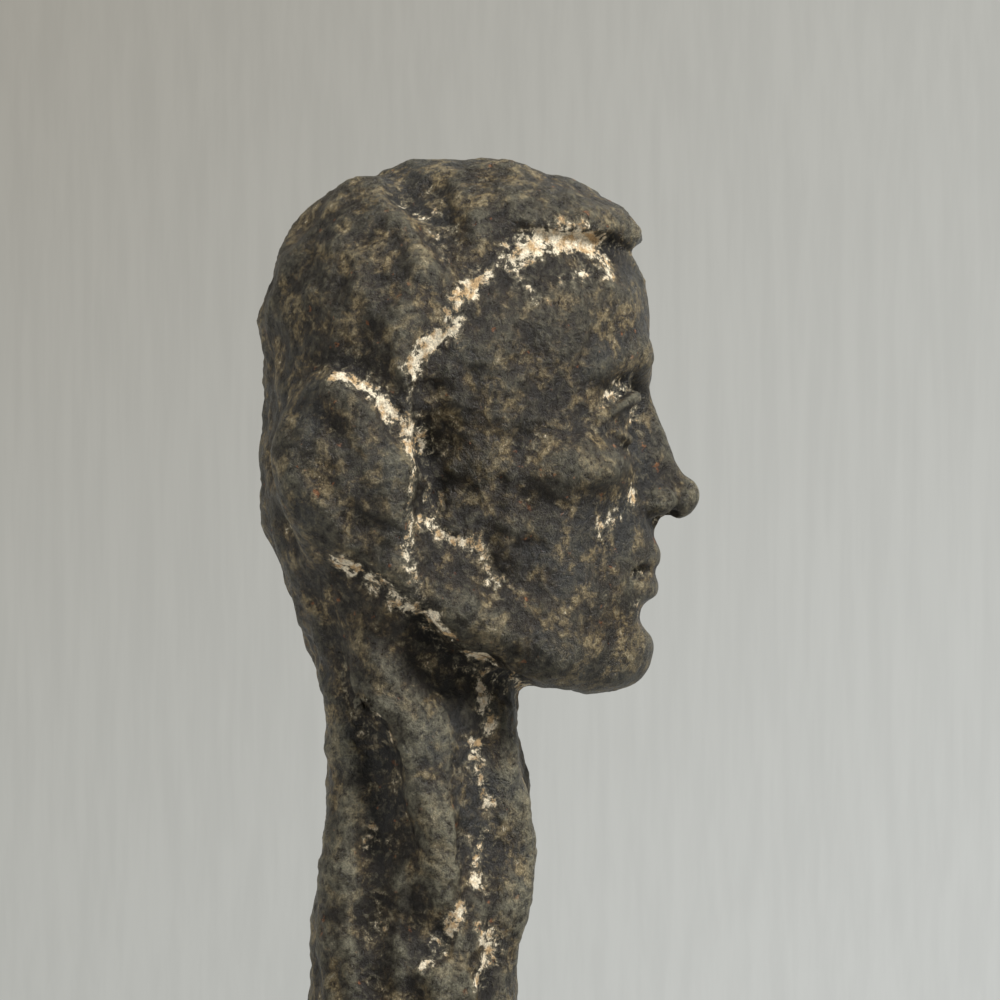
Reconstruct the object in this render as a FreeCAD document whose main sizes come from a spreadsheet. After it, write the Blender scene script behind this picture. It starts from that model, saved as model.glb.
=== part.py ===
"""Figure trophy: a slender standing figure in a long coat, on a stone plinth.

The figure is a set of bronze castings. Each one has a spigot that sits in a socket of
the next, and a cross pin through both. Two studs screw up into the legs and clamp the
ground plate and the plinth from below. Felt covers the underside.

The figure faces -Y, and its left side is +X. The origin is the middle of the felt's
underside. Lengths are in millimetres.
"""
import FreeCAD, Part
import math
import os
import Sketcher

OUT = "parts"

doc = FreeCAD.newDocument("figure_trophy")
sheet = doc.addObject("Spreadsheet::Sheet", "sizes")

# ---------------------------------------------------------------- driving sizes
SIZES = {
    # plinth and felt
    "plinth_width": 90.0,
    "plinth_depth": 90.0,
    "plinth_height": 40.0,
    "plinth_chamfer": 1.5,
    "felt_thick": 1.5,
    "felt_inset": 2.5,
    "felt_corner": 4.0,
    # ground plate under the shoes
    "ground_width": 66.0,
    "ground_depth": 62.0,
    "ground_thick": 6.0,
    "ground_corner": 16.0,
    # studs and what they carry
    "stud_dia": 6.0,
    "stud_bite": 15.0,
    "stud_tail": 2.5,
    "stud_room": 0.4,
    "thread_gap": 0.03,
    "recess_dia": 20.0,
    "recess_depth": 15.0,
    "washer_dia": 16.0,
    "washer_thick": 1.6,
    "lock_dia": 11.6,
    "lock_thick": 1.6,
    "lock_split": 1.2,
    "nut_flats": 10.0,
    "nut_height": 5.0,
    # name plate on the plinth's front
    "name_width": 56.0,
    "name_height": 17.0,
    "name_thick": 1.2,
    "name_corner": 1.5,
    "name_recess": 2.4,
    "name_gap": 0.2,
    "tack_inset": 3.5,
    "tack_dia": 1.6,
    "tack_long": 9.0,
    "tack_head_dia": 3.2,
    "tack_head_high": 0.9,
    # fits between castings
    "seat_gap": 0.15,
    "pin_gap": 0.04,
    "pin_dia": 3.0,
    "socket_relief": 0.5,
    # legs and shoes
    "leg_spacing": 25.0,
    "toe_out": 8.0,
    "leg_length": 80.0,
    "shoe_width": 15.2,
    "shoe_length": 41.0,
    "shoe_rise": 11.5,
    "heel_back": 14.5,
    "leg_tenon_dia": 9.0,
    "leg_tenon_long": 12.0,
    # coat
    "hem_drop": 9.0,
    "coat_length": 188.0,
    "breast_drop": 50.0,
    "armpit_drop": 32.0,
    "shoulder_drop": 19.0,
    "yoke_drop": 9.0,
    "coat_wall": 3.2,
    "web_thick": 5.0,
    "boss_wall": 3.0,
    "coat_solid_top": 20.0,
    "collar_depth": 8.0,
    # arms
    "arm_drop": 23.0,
    "arm_spigot_dia": 8.0,
    "arm_spigot_reach": 15.0,
    "arm_root_bite": 3.0,
    "hand_wide": 9.5,
    "hand_deep": 14.0,
    "hand_long": 29.0,
    "hand_out": 33.2,
    "hand_fore": -6.5,
    "wrist_overlap": 6.0,
    # neck
    "neck_length": 38.0,
    "jaw_overlap": 3.0,
    "neck_spigot_dia": 12.0,
    "neck_spigot_long": 13.0,
    "neck_root_long": 11.0,
    # head
    "head_height": 48.0,
    "cranium_high": 42.0,
    "cranium_wide": 34.0,
    "cranium_deep": 35.6,
    "cranium_fore": -2.0,
    "nape_high": 30.0,
    "nape_wide": 22.0,
    "nape_deep": 15.4,
    "nape_back": 3.1,
    "nape_up": 13.0,
    "roll_high": 13.0,
    "roll_wide": 25.0,
    "roll_deep": 19.6,
    "roll_fore": -10.8,
    "roll_drop": 7.4,
    "head_wall": 3.4,
    "plug_dia": 5.5,
    "plug_fore": -8.8,
}

# Oval sections of the lofted castings: height above the casting's own datum, width
# along X, depth along Y, and where the oval's middle lies in X and Y.
STATIONS = {
    "trouser": {  # above the sole, on the leg's own axis
        "ankle": (6.0, 12.5, 15.5, 0.0, 0.0),
        "cuff": (13.0, 17.4, 20.6, 0.0, 0.4),
        "calf": (32.0, 16.0, 18.6, 0.0, 0.9),
        "knee": (58.0, 16.4, 18.8, 0.0, -0.4),
        "thigh": ("sizes.leg_length", 17.6, 20.4, 0.0, 0.0),
    },
    "coat": {  # above the hem
        "hem": (0.0, 57.0, 45.0, 0.0, 1.5),
        "skirt": (34.0, 51.0, 39.0, 0.0, 1.0),
        "hip": (72.0, 45.0, 34.5, 0.0, 0.6),
        "waist": (104.0, 41.0, 30.5, 0.0, 1.0),
        "breast": ("sizes.coat_length - sizes.breast_drop", 47.0, 33.5, 0.0, 0.6),
        "armpit": ("sizes.coat_length - sizes.armpit_drop", 50.0, 33.0, 0.0, 1.4),
        "shoulder": ("sizes.coat_length - sizes.shoulder_drop", 44.0, 30.0, 0.0, 2.0),
        "yoke": ("sizes.coat_length - sizes.yoke_drop", 31.0, 27.0, 0.0, 2.0),
        "collar": ("sizes.coat_length", 25.0, 24.6, 0.0, 1.6),
    },
    "arm": {  # from the collar's top, for the left arm
        "cuff": (-144.0, 13.6, 16.4, 33.4, -5.2),
        "forearm": (-114.0, 14.0, 16.2, 32.8, -1.6),
        "elbow": (-84.0, 14.2, 16.6, 31.2, 2.4),
        "biceps": (-50.0, 15.4, 18.0, 29.8, 2.0),
        "deltoid": (-28.0, 16.0, 18.6, 26.6, 1.6),
        "point": (-17.0, 11.4, 13.8, 22.8, 1.8),
        "cap": (-11.5, 5.4, 6.8, 18.8, 2.0),
    },
    "neck": {  # above the neck's seat in the collar
        "root": (0.0, 19.2, 20.8, 0.0, 1.6),
        "low": (10.0, 18.2, 19.6, 0.0, 1.4),
        "larynx": (24.0, 17.8, 19.4, 0.0, 0.2),
        "throat": (32.0, 17.2, 18.2, 0.0, 0.0),
        "jaw": ("sizes.neck_length + sizes.jaw_overlap", 17.6, 19.0, 0.0, 0.3),
    },
    "face": {  # above the chin
        "chin": (0.0, 10.6, 11.4, 0.0, -13.6),
        "jaw": (4.0, 18.4, 23.0, 0.0, -8.6),
        "mouth": (11.0, 24.4, 31.0, 0.0, -5.2),
        "cheek": (19.0, 28.0, 34.0, 0.0, -3.6),
        "brow": (29.0, 29.0, 35.4, 0.0, -3.0),
        "forehead": (39.0, 23.0, 28.0, 0.0, -3.4),
    },
    "nose": {  # above the chin
        "base": (15.4, 6.6, 8.0, 0.0, -19.4),
        "tip": (17.4, 6.8, 9.0, 0.0, -20.3),
        "ridge": (22.0, 4.4, 7.4, 0.0, -19.4),
        "bridge": (28.0, 4.6, 6.4, 0.0, -18.0),
    },
}


# ---------------------------------------------------------------- sheet and helpers
def write_sheet():
    """Puts every driving size in its own row, the alias being its name."""
    rows = dict(SIZES)
    for part, stations in STATIONS.items():
        for station, values in stations.items():
            for word, value in zip(("up", "wide", "deep", "side", "fore"), values):
                if not isinstance(value, str):
                    rows[f"{part}_{station}_{word}"] = value
    for row, (alias, value) in enumerate(rows.items(), start=1):
        sheet.set(f"A{row}", alias.replace("_", " "))
        sheet.set(f"B{row}", str(value))
        sheet.setAlias(f"B{row}", alias)
    doc.recompute()


def station(part, name, word):
    """The expression for one value of one section."""
    value = STATIONS[part][name][("up", "wide", "deep", "side", "fore").index(word)]
    return f"({value})" if isinstance(value, str) else f"sizes.{part}_{name}_{word}"


def add(kind, name, turn=None, **expressions):
    """Adds a document object and binds its properties; x, y and z are its base point."""
    item = doc.addObject(kind, name)
    if turn is not None:
        item.Placement = FreeCAD.Placement(FreeCAD.Vector(0, 0, 0), turn)
    for name_, expression in expressions.items():
        path = f"Placement.Base.{name_}" if name_ in "xyz" else name_
        item.setExpression(path, expression)
    return item


def cut(name, base, tool):
    item = doc.addObject("Part::Cut", name)
    item.Base = base
    item.Tool = tool
    return item


def common(name, base, tool):
    item = doc.addObject("Part::Common", name)
    item.Base = base
    item.Tool = tool
    return item


def fuse(name, *shapes):
    item = doc.addObject("Part::MultiFuse", name)
    item.Shapes = list(shapes)
    return item


def group(name, *shapes):
    """Separate solids that share one node."""
    item = doc.addObject("Part::Compound", name)
    item.Links = list(shapes)
    return item


def mirrored(name, source):
    """The same piece on the other side of the YZ plane."""
    item = doc.addObject("Part::Mirroring", name)
    item.Source = source
    item.Base = FreeCAD.Vector(0, 0, 0)
    item.Normal = FreeCAD.Vector(1, 0, 0)
    return item


ALONG_X = FreeCAD.Rotation(FreeCAD.Vector(0, 1, 0), 90)
ALONG_Y = FreeCAD.Rotation(FreeCAD.Vector(1, 0, 0), -90)
QUARTER = FreeCAD.Rotation(FreeCAD.Vector(0, 0, 1), 90)
FRONT = 270  # where a full oval starts and ends, in degrees from +X


def oval_loft(name, part, datum, wide_first=False, grow="0"):
    """A smooth solid through the part's oval sections; grow moves its wall outwards.

    wide_first says that every section is wider along X than along Y. The seam of such a
    loft runs down its front, clear of what joins it at the sides and the back.
    """
    sections = []
    for label in STATIONS[part]:
        half_x = f"{station(part, label, 'wide')} / 2 + {grow}"
        half_y = f"{station(part, label, 'deep')} / 2 + {grow}"
        sections.append(add(
            "Part::Ellipse", f"{name}_{label}",
            turn=None if wide_first else QUARTER,
            MajorRadius=half_x if wide_first else half_y,
            MinorRadius=half_y if wide_first else half_x,
            x=station(part, label, "side"),
            y=station(part, label, "fore"),
            z=f"{datum} + {station(part, label, 'up')}",
        ))
        if wide_first:
            sections[-1].Angle1 = sections[-1].Angle2 = FRONT
    loft = doc.addObject("Part::Loft", name)
    loft.Sections = sections
    loft.Solid = True
    return loft


def rod(name, dia, length, x="0", y="0", z="0", turn=None):
    """A plain cylinder; it starts at x, y, z and runs along its own axis."""
    return add("Part::Cylinder", name, turn=turn, Radius=f"({dia}) / 2", Height=length,
               x=x, y=y, z=z)


def ellipsoid(name, wide, deep, high, x="0", y="0", z="0"):
    item = add("Part::Ellipsoid", name, Radius1=f"({high}) / 2", Radius2=f"({wide}) / 2",
               Radius3=f"({deep}) / 2", x=x, y=y, z=z)
    return item


def slab(name, width, depth, height, z, corner=None, chamfer=None):
    """A PartDesign body: a rectangle centred on the Z axis and padded upwards."""
    body = doc.addObject("PartDesign::Body", name)
    sketch = body.newObject("Sketcher::SketchObject", f"{name}_outline")
    plane = next(f for f in body.Origin.OriginFeatures if f.Role == "XY_Plane")
    sketch.AttachmentSupport = [(plane, "")]
    sketch.MapMode = "FlatFace"
    signs = [(-1, -1), (1, -1), (1, 1), (-1, 1)]
    points = [FreeCAD.Vector(20 * i, 10 * j, 0) for i, j in signs]
    for k in range(4):
        sketch.addGeometry(Part.LineSegment(points[k], points[(k + 1) % 4]), False)
    for k in range(4):
        sketch.addConstraint(Sketcher.Constraint("Coincident", k, 2, (k + 1) % 4, 1))
    for k in (0, 2):
        sketch.addConstraint(Sketcher.Constraint("Horizontal", k))
        sketch.addConstraint(Sketcher.Constraint("Vertical", k + 1))
    sketch.addConstraint(Sketcher.Constraint("Symmetric", 0, 1, 2, 1, -1, 1))
    across = sketch.addConstraint(Sketcher.Constraint("DistanceX", 0, 1, 0, 2, 40.0))
    along = sketch.addConstraint(Sketcher.Constraint("DistanceY", 1, 1, 1, 2, 20.0))
    sketch.setExpression(f"Constraints[{across}]", width)
    sketch.setExpression(f"Constraints[{along}]", depth)
    pad = body.newObject("PartDesign::Pad", f"{name}_pad")
    pad.Profile = sketch
    pad.setExpression("Length", height)
    doc.recompute()
    last = pad
    if corner:
        last = edge_feature(body, "PartDesign::Fillet", last, upright_edges, "Radius", corner)
    if chamfer:
        last = edge_feature(body, "PartDesign::Chamfer", last, top_edges, "Size", chamfer)
    body.Tip = last
    body.setExpression("Placement.Base.z", z)
    return body


def upright_edges(shape):
    return [f"Edge{i + 1}" for i, e in enumerate(shape.Edges)
            if abs(e.Vertexes[0].Z - e.Vertexes[-1].Z) > 0.5 * shape.BoundBox.ZLength]


def top_edges(shape):
    top = shape.BoundBox.ZMax
    return [f"Edge{i + 1}" for i, e in enumerate(shape.Edges)
            if all(abs(v.Z - top) < 1e-6 for v in e.Vertexes)]


def edge_feature(body, kind, base, chosen, size, expression):
    feature = body.newObject(kind, f"{body.Name}_{size.lower()}")
    feature.Base = (base, chosen(base.Shape))
    feature.setExpression(size, expression)
    doc.recompute()
    return feature


def pair(name, make):
    """Two of the same small piece, one for each leg, as one node."""
    half = "sizes.leg_spacing / 2"
    return group(name, make(f"{name}_left", half), make(f"{name}_right", f"-{half}"))


# ---------------------------------------------------------------- levels up the trophy
write_sheet()
PLINTH_TOP = "(sizes.felt_thick + sizes.plinth_height)"
GROUND_TOP = f"({PLINTH_TOP} + sizes.ground_thick)"
HIP_SEAT = f"({GROUND_TOP} + sizes.leg_length)"
HEM = f"({HIP_SEAT} - sizes.hem_drop)"
COLLAR_TOP = f"({HEM} + sizes.coat_length)"
NECK_SEAT = f"({COLLAR_TOP} - sizes.collar_depth)"
CHIN = f"({NECK_SEAT} + sizes.neck_length)"
HEAD_SEAT = f"({CHIN} + sizes.jaw_overlap)"
CROWN = f"({CHIN} + sizes.head_height)"
NAME_BACK = "(sizes.name_recess - sizes.plinth_depth / 2)"
NAME_LEVEL = "(sizes.felt_thick + sizes.plinth_height / 2)"
RECESS_TOP = "(sizes.felt_thick + sizes.recess_depth)"
ARM_LEVEL = f"({COLLAR_TOP} - sizes.arm_drop)"
ARM_ROOT = "(sizes.arm_deltoid_side + sizes.arm_root_bite)"
HIP_PIN_LEVEL = f"({HIP_SEAT} + sizes.leg_tenon_long / 2)"
NECK_PIN_LEVEL = f"({NECK_SEAT} - sizes.neck_root_long / 2)"
HEAD_PIN_LEVEL = f"({HEAD_SEAT} + sizes.neck_spigot_long / 2)"
PIN_HOLE = "sizes.pin_dia + 2 * sizes.pin_gap"
STUD_HOLE = "sizes.stud_dia + 2 * sizes.stud_room"


# ---------------------------------------------------------------- plinth and fixings
def stud_holes(name, z, length, dia=STUD_HOLE):
    return pair(name, lambda label, x: rod(label, dia, length, x=x, z=z))


def plinth():
    block = slab("plinth_block", "sizes.plinth_width", "sizes.plinth_depth",
                 "sizes.plinth_height", "sizes.felt_thick", chamfer="sizes.plinth_chamfer")
    through = stud_holes("plinth_bores", "sizes.felt_thick", "sizes.plinth_height")
    recess = stud_holes("plinth_recesses", "sizes.felt_thick", "sizes.recess_depth",
                        dia="sizes.recess_dia")
    rebate = add("Part::Box", "plinth_rebate",
                 Length="sizes.name_width + 2 * sizes.name_gap",
                 Width="sizes.name_recess", Height="sizes.name_height + 2 * sizes.name_gap",
                 x="-sizes.name_width / 2 - sizes.name_gap", y="-sizes.plinth_depth / 2",
                 z=f"{NAME_LEVEL} - sizes.name_height / 2 - sizes.name_gap")
    drilled = cut("plinth_drilled", block, fuse("plinth_cutters", through, recess, rebate))
    return cut("plinth", drilled, tacks("tack_holes", "2 * sizes.pin_gap", head=False))


def tacks(name, grow="0", head=True):
    """Four round-headed pins through the name plate into the plinth's rebate."""
    face = f"{NAME_BACK} - sizes.name_thick"
    items = []
    for i, (side, up) in enumerate([(-1, -1), (1, -1), (1, 1), (-1, 1)]):
        x = f"{side} * (sizes.name_width / 2 - sizes.tack_inset)"
        z = f"{NAME_LEVEL} + {up} * (sizes.name_height / 2 - sizes.tack_inset)"
        shank = rod(f"{name}_shank_{i}", f"sizes.tack_dia + {grow}",
                    "sizes.tack_long", x=x, y=face, z=z, turn=ALONG_Y)
        if head:
            cap = rod(f"{name}_head_{i}", "sizes.tack_head_dia", "sizes.tack_head_high",
                      x=x, y=f"{face} - sizes.tack_head_high", z=z,
                      turn=ALONG_Y)
            shank = fuse(f"{name}_{i}", shank, cap)
        items.append(shank)
    return group(name, *items)


def name_plate():
    blank = slab("name_blank", "sizes.name_width", "sizes.name_height", "sizes.name_thick",
                 "0", corner="sizes.name_corner")
    blank.Placement = FreeCAD.Placement(
        FreeCAD.Vector(0, 0, 0), FreeCAD.Rotation(FreeCAD.Vector(1, 0, 0), 90))
    blank.setExpression("Placement.Base.y", NAME_BACK)
    blank.setExpression("Placement.Base.z", NAME_LEVEL)
    return cut("name_plate", blank, tacks("name_holes", "2 * sizes.pin_gap", head=False))


def base_felt():
    return slab("base_felt", "sizes.plinth_width - 2 * sizes.felt_inset",
                "sizes.plinth_depth - 2 * sizes.felt_inset", "sizes.felt_thick", "0",
                corner="sizes.felt_corner")


def ground_plate():
    blank = slab("ground_blank", "sizes.ground_width", "sizes.ground_depth",
                 "sizes.ground_thick", PLINTH_TOP, corner="sizes.ground_corner")
    return cut("ground_plate", blank,
               stud_holes("ground_bores", PLINTH_TOP, "sizes.ground_thick"))


def fixings():
    """Studs, washers and nuts in the plinth's recesses."""
    lock_top = f"({RECESS_TOP} - sizes.washer_thick)"
    nut_top = f"({lock_top} - sizes.lock_thick)"
    foot = f"({nut_top} - sizes.nut_height - sizes.stud_tail)"
    bore = "sizes.stud_dia + 2 * sizes.thread_gap"

    def stud(label, x):
        return rod(label, "sizes.stud_dia", f"{GROUND_TOP} + sizes.stud_bite - {foot}",
                   x=x, z=foot)

    def washer(label, x):
        disc = rod(f"{label}_disc", "sizes.washer_dia", "sizes.washer_thick", x=x, z=lock_top)
        hole = rod(f"{label}_hole", STUD_HOLE, "sizes.washer_thick", x=x, z=lock_top)
        return cut(label, disc, hole)

    def lock(label, x):
        disc = rod(f"{label}_disc", "sizes.lock_dia", "sizes.lock_thick", x=x, z=nut_top)
        hole = rod(f"{label}_hole", STUD_HOLE, "sizes.lock_thick", x=x, z=nut_top)
        gap = add("Part::Box", f"{label}_gap", Length="sizes.lock_dia",
                  Width="sizes.lock_split", Height="sizes.lock_thick",
                  x=x, y="-sizes.lock_split / 2", z=nut_top)
        return cut(label, cut(f"{label}_ring", disc, hole), gap)

    def nut(label, x):
        hexagon = add("Part::Prism", f"{label}_hexagon",
                      Circumradius=f"sizes.nut_flats / 2 / {math.cos(math.pi / 6)!r}",
                      Height="sizes.nut_height", x=x, z=f"{nut_top} - sizes.nut_height")
        hexagon.Polygon = 6
        hole = rod(f"{label}_hole", bore, "sizes.nut_height", x=x,
                   z=f"{nut_top} - sizes.nut_height")
        return cut(label, hexagon, hole)

    return [pair("mounting_studs", stud), pair("flat_washers", washer),
            pair("lock_washers", lock), pair("hex_nuts", nut)]


# ---------------------------------------------------------------- figure castings
def leg(name, side):
    """One trouser leg with its shoe, made upright on its own axis, then set down."""
    upper = ellipsoid(f"{name}_shoe_form", "sizes.shoe_width", "sizes.shoe_length",
                      "2 * sizes.shoe_rise", y="sizes.heel_back - sizes.shoe_length / 2")
    below = add("Part::Box", f"{name}_below", Length="2 * sizes.shoe_length",
                Width="2 * sizes.shoe_length", Height="2 * sizes.shoe_rise",
                x="-sizes.shoe_length", y="-sizes.shoe_length", z="-2 * sizes.shoe_rise")
    shoe = cut(f"{name}_shoe", upper, below)
    trouser = oval_loft(f"{name}_trouser", "trouser", "0")
    tenon = rod(f"{name}_tenon", "sizes.leg_tenon_dia", "sizes.leg_tenon_long",
                z="sizes.leg_length")
    tap = rod(f"{name}_tap", "sizes.stud_dia + 2 * sizes.thread_gap",
              "sizes.stud_bite + sizes.socket_relief")
    form = fuse(f"{name}_form", shoe, trouser, tenon)
    tapped = cut(f"{name}_tapped", form, tap)
    turned = doc.addObject("Part::Compound", f"{name}_set")
    turned.Links = [tapped]
    turned.Placement = FreeCAD.Placement(
        FreeCAD.Vector(0, 0, 0), FreeCAD.Rotation(FreeCAD.Vector(0, 0, 1), 1))
    turned.setExpression("Placement.Rotation.Angle", f"{side} * sizes.toe_out")
    turned.setExpression("Placement.Base.x", f"{side} * sizes.leg_spacing / 2")
    turned.setExpression("Placement.Base.z", GROUND_TOP)
    return cut(name, turned, cross_hole(f"{name}_pin_hole", side))


def cross_hole(name, side, dia=PIN_HOLE):
    """The pin line through one leg's tenon, from the middle of the coat to its back."""
    return rod(name, dia, "sizes.coat_hem_deep", x=f"{side} * sizes.leg_spacing / 2",
               y="-sizes.leg_tenon_dia / 2 - sizes.boss_wall + sizes.socket_relief",
               z=HIP_PIN_LEVEL, turn=ALONG_Y)


def neck_line(name, dia, datum):
    """A pin line through the neck, from just short of its front to past the back."""
    return rod(name, dia, "sizes.cranium_deep",
               y="-sizes.neck_spigot_dia / 2 - sizes.boss_wall / 2", z=datum, turn=ALONG_Y)


def arm_line(name, side, dia=PIN_HOLE):
    """The pin line through one arm's spigot, coming in from the coat's back."""
    return rod(name, dia, "sizes.coat_armpit_deep",
               x=f"{side} * (sizes.arm_spigot_reach + sizes.pin_dia)",
               y="-sizes.arm_spigot_dia / 2 - sizes.boss_wall / 2",
               z=ARM_LEVEL, turn=ALONG_Y)


def arm_socket(name, side, dia):
    """A round form along X from inside the chest out to the arm's root."""
    start = "sizes.arm_spigot_reach - sizes.socket_relief"
    length = f"{ARM_ROOT} - sizes.arm_spigot_reach + sizes.socket_relief"
    x = start if side > 0 else f"-({start}) - ({length})"
    return rod(name, dia, length, x=x, y=station("arm", "deltoid", "fore"), z=ARM_LEVEL,
               turn=ALONG_X)


def coat_form(name, grow="0"):
    return oval_loft(name, "coat", HEM, wide_first=True, grow=grow)


def neck_form(name, grow="0"):
    return oval_loft(name, "neck", NECK_SEAT, grow=grow)


def coat(outer):
    """The trunk: a hollow casting with a web above the hem and sockets for the limbs."""
    core = coat_form("coat_core", grow="-sizes.coat_wall")
    lid_z = f"{COLLAR_TOP} - sizes.coat_solid_top"
    span = "sizes.coat_hem_wide"
    lid = add("Part::Box", "coat_lid", Length=f"2 * {span}", Width=f"2 * {span}",
              Height="2 * sizes.coat_solid_top", x=f"-{span}", y=f"-{span}", z=lid_z)
    web = add("Part::Box", "coat_web", Length=f"2 * {span}", Width=f"2 * {span}",
              Height="sizes.web_thick", x=f"-{span}", y=f"-{span}", z=HIP_SEAT)
    hollow = cut("coat_hollow", core, fuse("coat_solid_zones", lid, web))
    shell = cut("coat_shell", outer, hollow)
    boss_dia = "sizes.leg_tenon_dia + 2 * sizes.seat_gap + 2 * sizes.boss_wall"
    boss_high = "sizes.leg_tenon_long + sizes.socket_relief + sizes.boss_wall"
    bosses = [rod(f"hip_boss_{label}", boss_dia, boss_high,
                  x=f"{side} * sizes.leg_spacing / 2", z=HIP_SEAT)
              for label, side in (("left", 1), ("right", -1))]
    arm_boss_dia = "sizes.arm_spigot_dia + 2 * sizes.seat_gap + 2 * sizes.boss_wall"
    arm_bosses = [arm_boss(f"arm_boss_{label}", side, arm_boss_dia)
                  for label, side in (("left", 1), ("right", -1))]
    trimmed = common("arm_bosses", fuse("arm_boss_pair", *arm_bosses), coat_form("coat_trim"))
    body = fuse("coat_body", shell, trimmed, *bosses)
    sockets = [rod(f"hip_socket_{label}", "sizes.leg_tenon_dia + 2 * sizes.seat_gap",
                   "sizes.leg_tenon_long + sizes.socket_relief",
                   x=f"{side} * sizes.leg_spacing / 2", z=HIP_SEAT)
               for label, side in (("left", 1), ("right", -1))]
    sockets += [arm_socket(f"arm_socket_{label}", side,
                           "sizes.arm_spigot_dia + 2 * sizes.seat_gap")
                for label, side in (("left", 1), ("right", -1))]
    sockets.append(rod("neck_socket", "sizes.neck_spigot_dia + 2 * sizes.seat_gap",
                       "sizes.neck_root_long + sizes.socket_relief",
                       z=f"{NECK_SEAT} - sizes.neck_root_long - sizes.socket_relief"))
    lines = [cross_hole(f"coat_hip_line_{label}", side)
             for label, side in (("left", 1), ("right", -1))]
    lines += [arm_line(f"coat_arm_line_{label}", side)
              for label, side in (("left", 1), ("right", -1))]
    lines.append(neck_line("coat_neck_line", PIN_HOLE, NECK_PIN_LEVEL))
    room = neck_form("neck_room", grow="sizes.seat_gap")
    return cut("coat_casting", body, fuse("coat_cutters", room, *sockets, *lines))


def arm_boss(name, side, dia):
    """Metal round the arm socket, inside the chest wall."""
    start = "sizes.arm_spigot_reach - sizes.socket_relief - sizes.boss_wall"
    length = f"{ARM_ROOT} - sizes.arm_spigot_reach + sizes.socket_relief + sizes.boss_wall"
    x = start if side > 0 else f"-({start}) - ({length})"
    return rod(name, dia, length, x=x, y=station("arm", "deltoid", "fore"), z=ARM_LEVEL,
               turn=ALONG_X)


def left_arm():
    """Sleeve and hand, shaped to the coat's side where they meet it."""
    sleeve = oval_loft("arm_sleeve", "arm", COLLAR_TOP)
    hand = ellipsoid("arm_hand", "sizes.hand_wide", "sizes.hand_deep", "sizes.hand_long",
                     x="sizes.hand_out", y="sizes.hand_fore",
                     z=f"{COLLAR_TOP} + sizes.arm_cuff_up + sizes.wrist_overlap "
                       "- sizes.hand_long / 2")
    fitted = cut("arm_fitted", fuse("arm_outer", sleeve, hand),
                 coat_form("arm_clearance", grow="sizes.seat_gap"))
    spigot = rod("arm_spigot", "sizes.arm_spigot_dia", f"{ARM_ROOT} - sizes.arm_spigot_reach",
                 x="sizes.arm_spigot_reach", y=station("arm", "deltoid", "fore"), z=ARM_LEVEL,
                 turn=ALONG_X)
    return cut("left_arm_casting", fuse("arm_joined", fitted, spigot),
               arm_line("arm_pin_hole", 1))


def neck():
    root = rod("neck_root", "sizes.neck_spigot_dia", "sizes.neck_root_long",
               z=f"{NECK_SEAT} - sizes.neck_root_long")
    spigot = rod("neck_spigot", "sizes.neck_spigot_dia", "sizes.neck_spigot_long",
                 z=HEAD_SEAT)
    lines = fuse("neck_lines", neck_line("neck_low_line", PIN_HOLE, NECK_PIN_LEVEL),
                 neck_line("neck_high_line", PIN_HOLE, HEAD_PIN_LEVEL))
    return cut("neck_casting", fuse("neck_joined", neck_form("neck_outer"), root, spigot),
               lines)


def cranium(name, grow="0"):
    return ellipsoid(name, f"sizes.cranium_wide + 2 * {grow}",
                     f"sizes.cranium_deep + 2 * {grow}", f"sizes.cranium_high + 2 * {grow}",
                     y="sizes.cranium_fore", z=f"{CROWN} - sizes.cranium_high / 2")


def plug_line(name, dia):
    return rod(name, dia, "sizes.cranium_high", y="sizes.plug_fore",
               z=f"{CROWN} - sizes.cranium_high / 2")


def head_form():
    """The outside of the head: the hair with its roll over the brow, the face and the nose."""
    nape = ellipsoid("nape", "sizes.nape_wide", "sizes.nape_deep", "sizes.nape_high",
                     y="sizes.nape_back", z=f"{CHIN} + sizes.nape_up")
    roll = ellipsoid("hair_roll", "sizes.roll_wide", "sizes.roll_deep", "sizes.roll_high",
                     y="sizes.roll_fore", z=f"{CROWN} - sizes.roll_drop")
    return fuse("head_form", cranium("hair"), roll, nape, oval_loft("face", "face", CHIN),
                oval_loft("nose", "nose", CHIN))


def head(form):
    """A hollow casting that caps the neck; its core vent at the crown is plugged."""
    cutters = fuse(
        "head_cutters",
        cranium("head_cavity", grow="-sizes.head_wall"),
        neck_form("jaw_room", grow="sizes.seat_gap"),
        rod("head_socket", "sizes.neck_spigot_dia + 2 * sizes.seat_gap",
            "sizes.neck_spigot_long + sizes.socket_relief", z=HEAD_SEAT),
        plug_line("vent_hole", "sizes.plug_dia + 2 * sizes.pin_gap"),
        neck_line("head_line", PIN_HOLE, HEAD_PIN_LEVEL))
    return cut("head_casting", form, cutters)


def crown_plug(form):
    disc = common("plug_flush", form, plug_line("plug_blank", "sizes.plug_dia"))
    return cut("crown_plug", disc, cranium("plug_cavity", grow="-sizes.head_wall"))


def joint_pins(coat_outer, head_outer):
    """Cross pins, cut off flush with the casting that each one is driven into."""
    hips = [common(f"hip_pin_{label}", coat_outer,
                   cross_hole(f"hip_pin_blank_{label}", side, "sizes.pin_dia"))
            for label, side in (("left", 1), ("right", -1))]
    arms = [common(f"arm_pin_{label}", coat_outer,
                   arm_line(f"arm_pin_blank_{label}", side, "sizes.pin_dia"))
            for label, side in (("left", 1), ("right", -1))]
    low = common("neck_pin", coat_outer,
                 neck_line("neck_pin_blank", "sizes.pin_dia", NECK_PIN_LEVEL))
    high = common("head_pin", head_outer,
                  neck_line("head_pin_blank", "sizes.pin_dia", HEAD_PIN_LEVEL))
    return [group("hip_pins", *hips), group("arm_pins", *arms), low, high]


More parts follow.
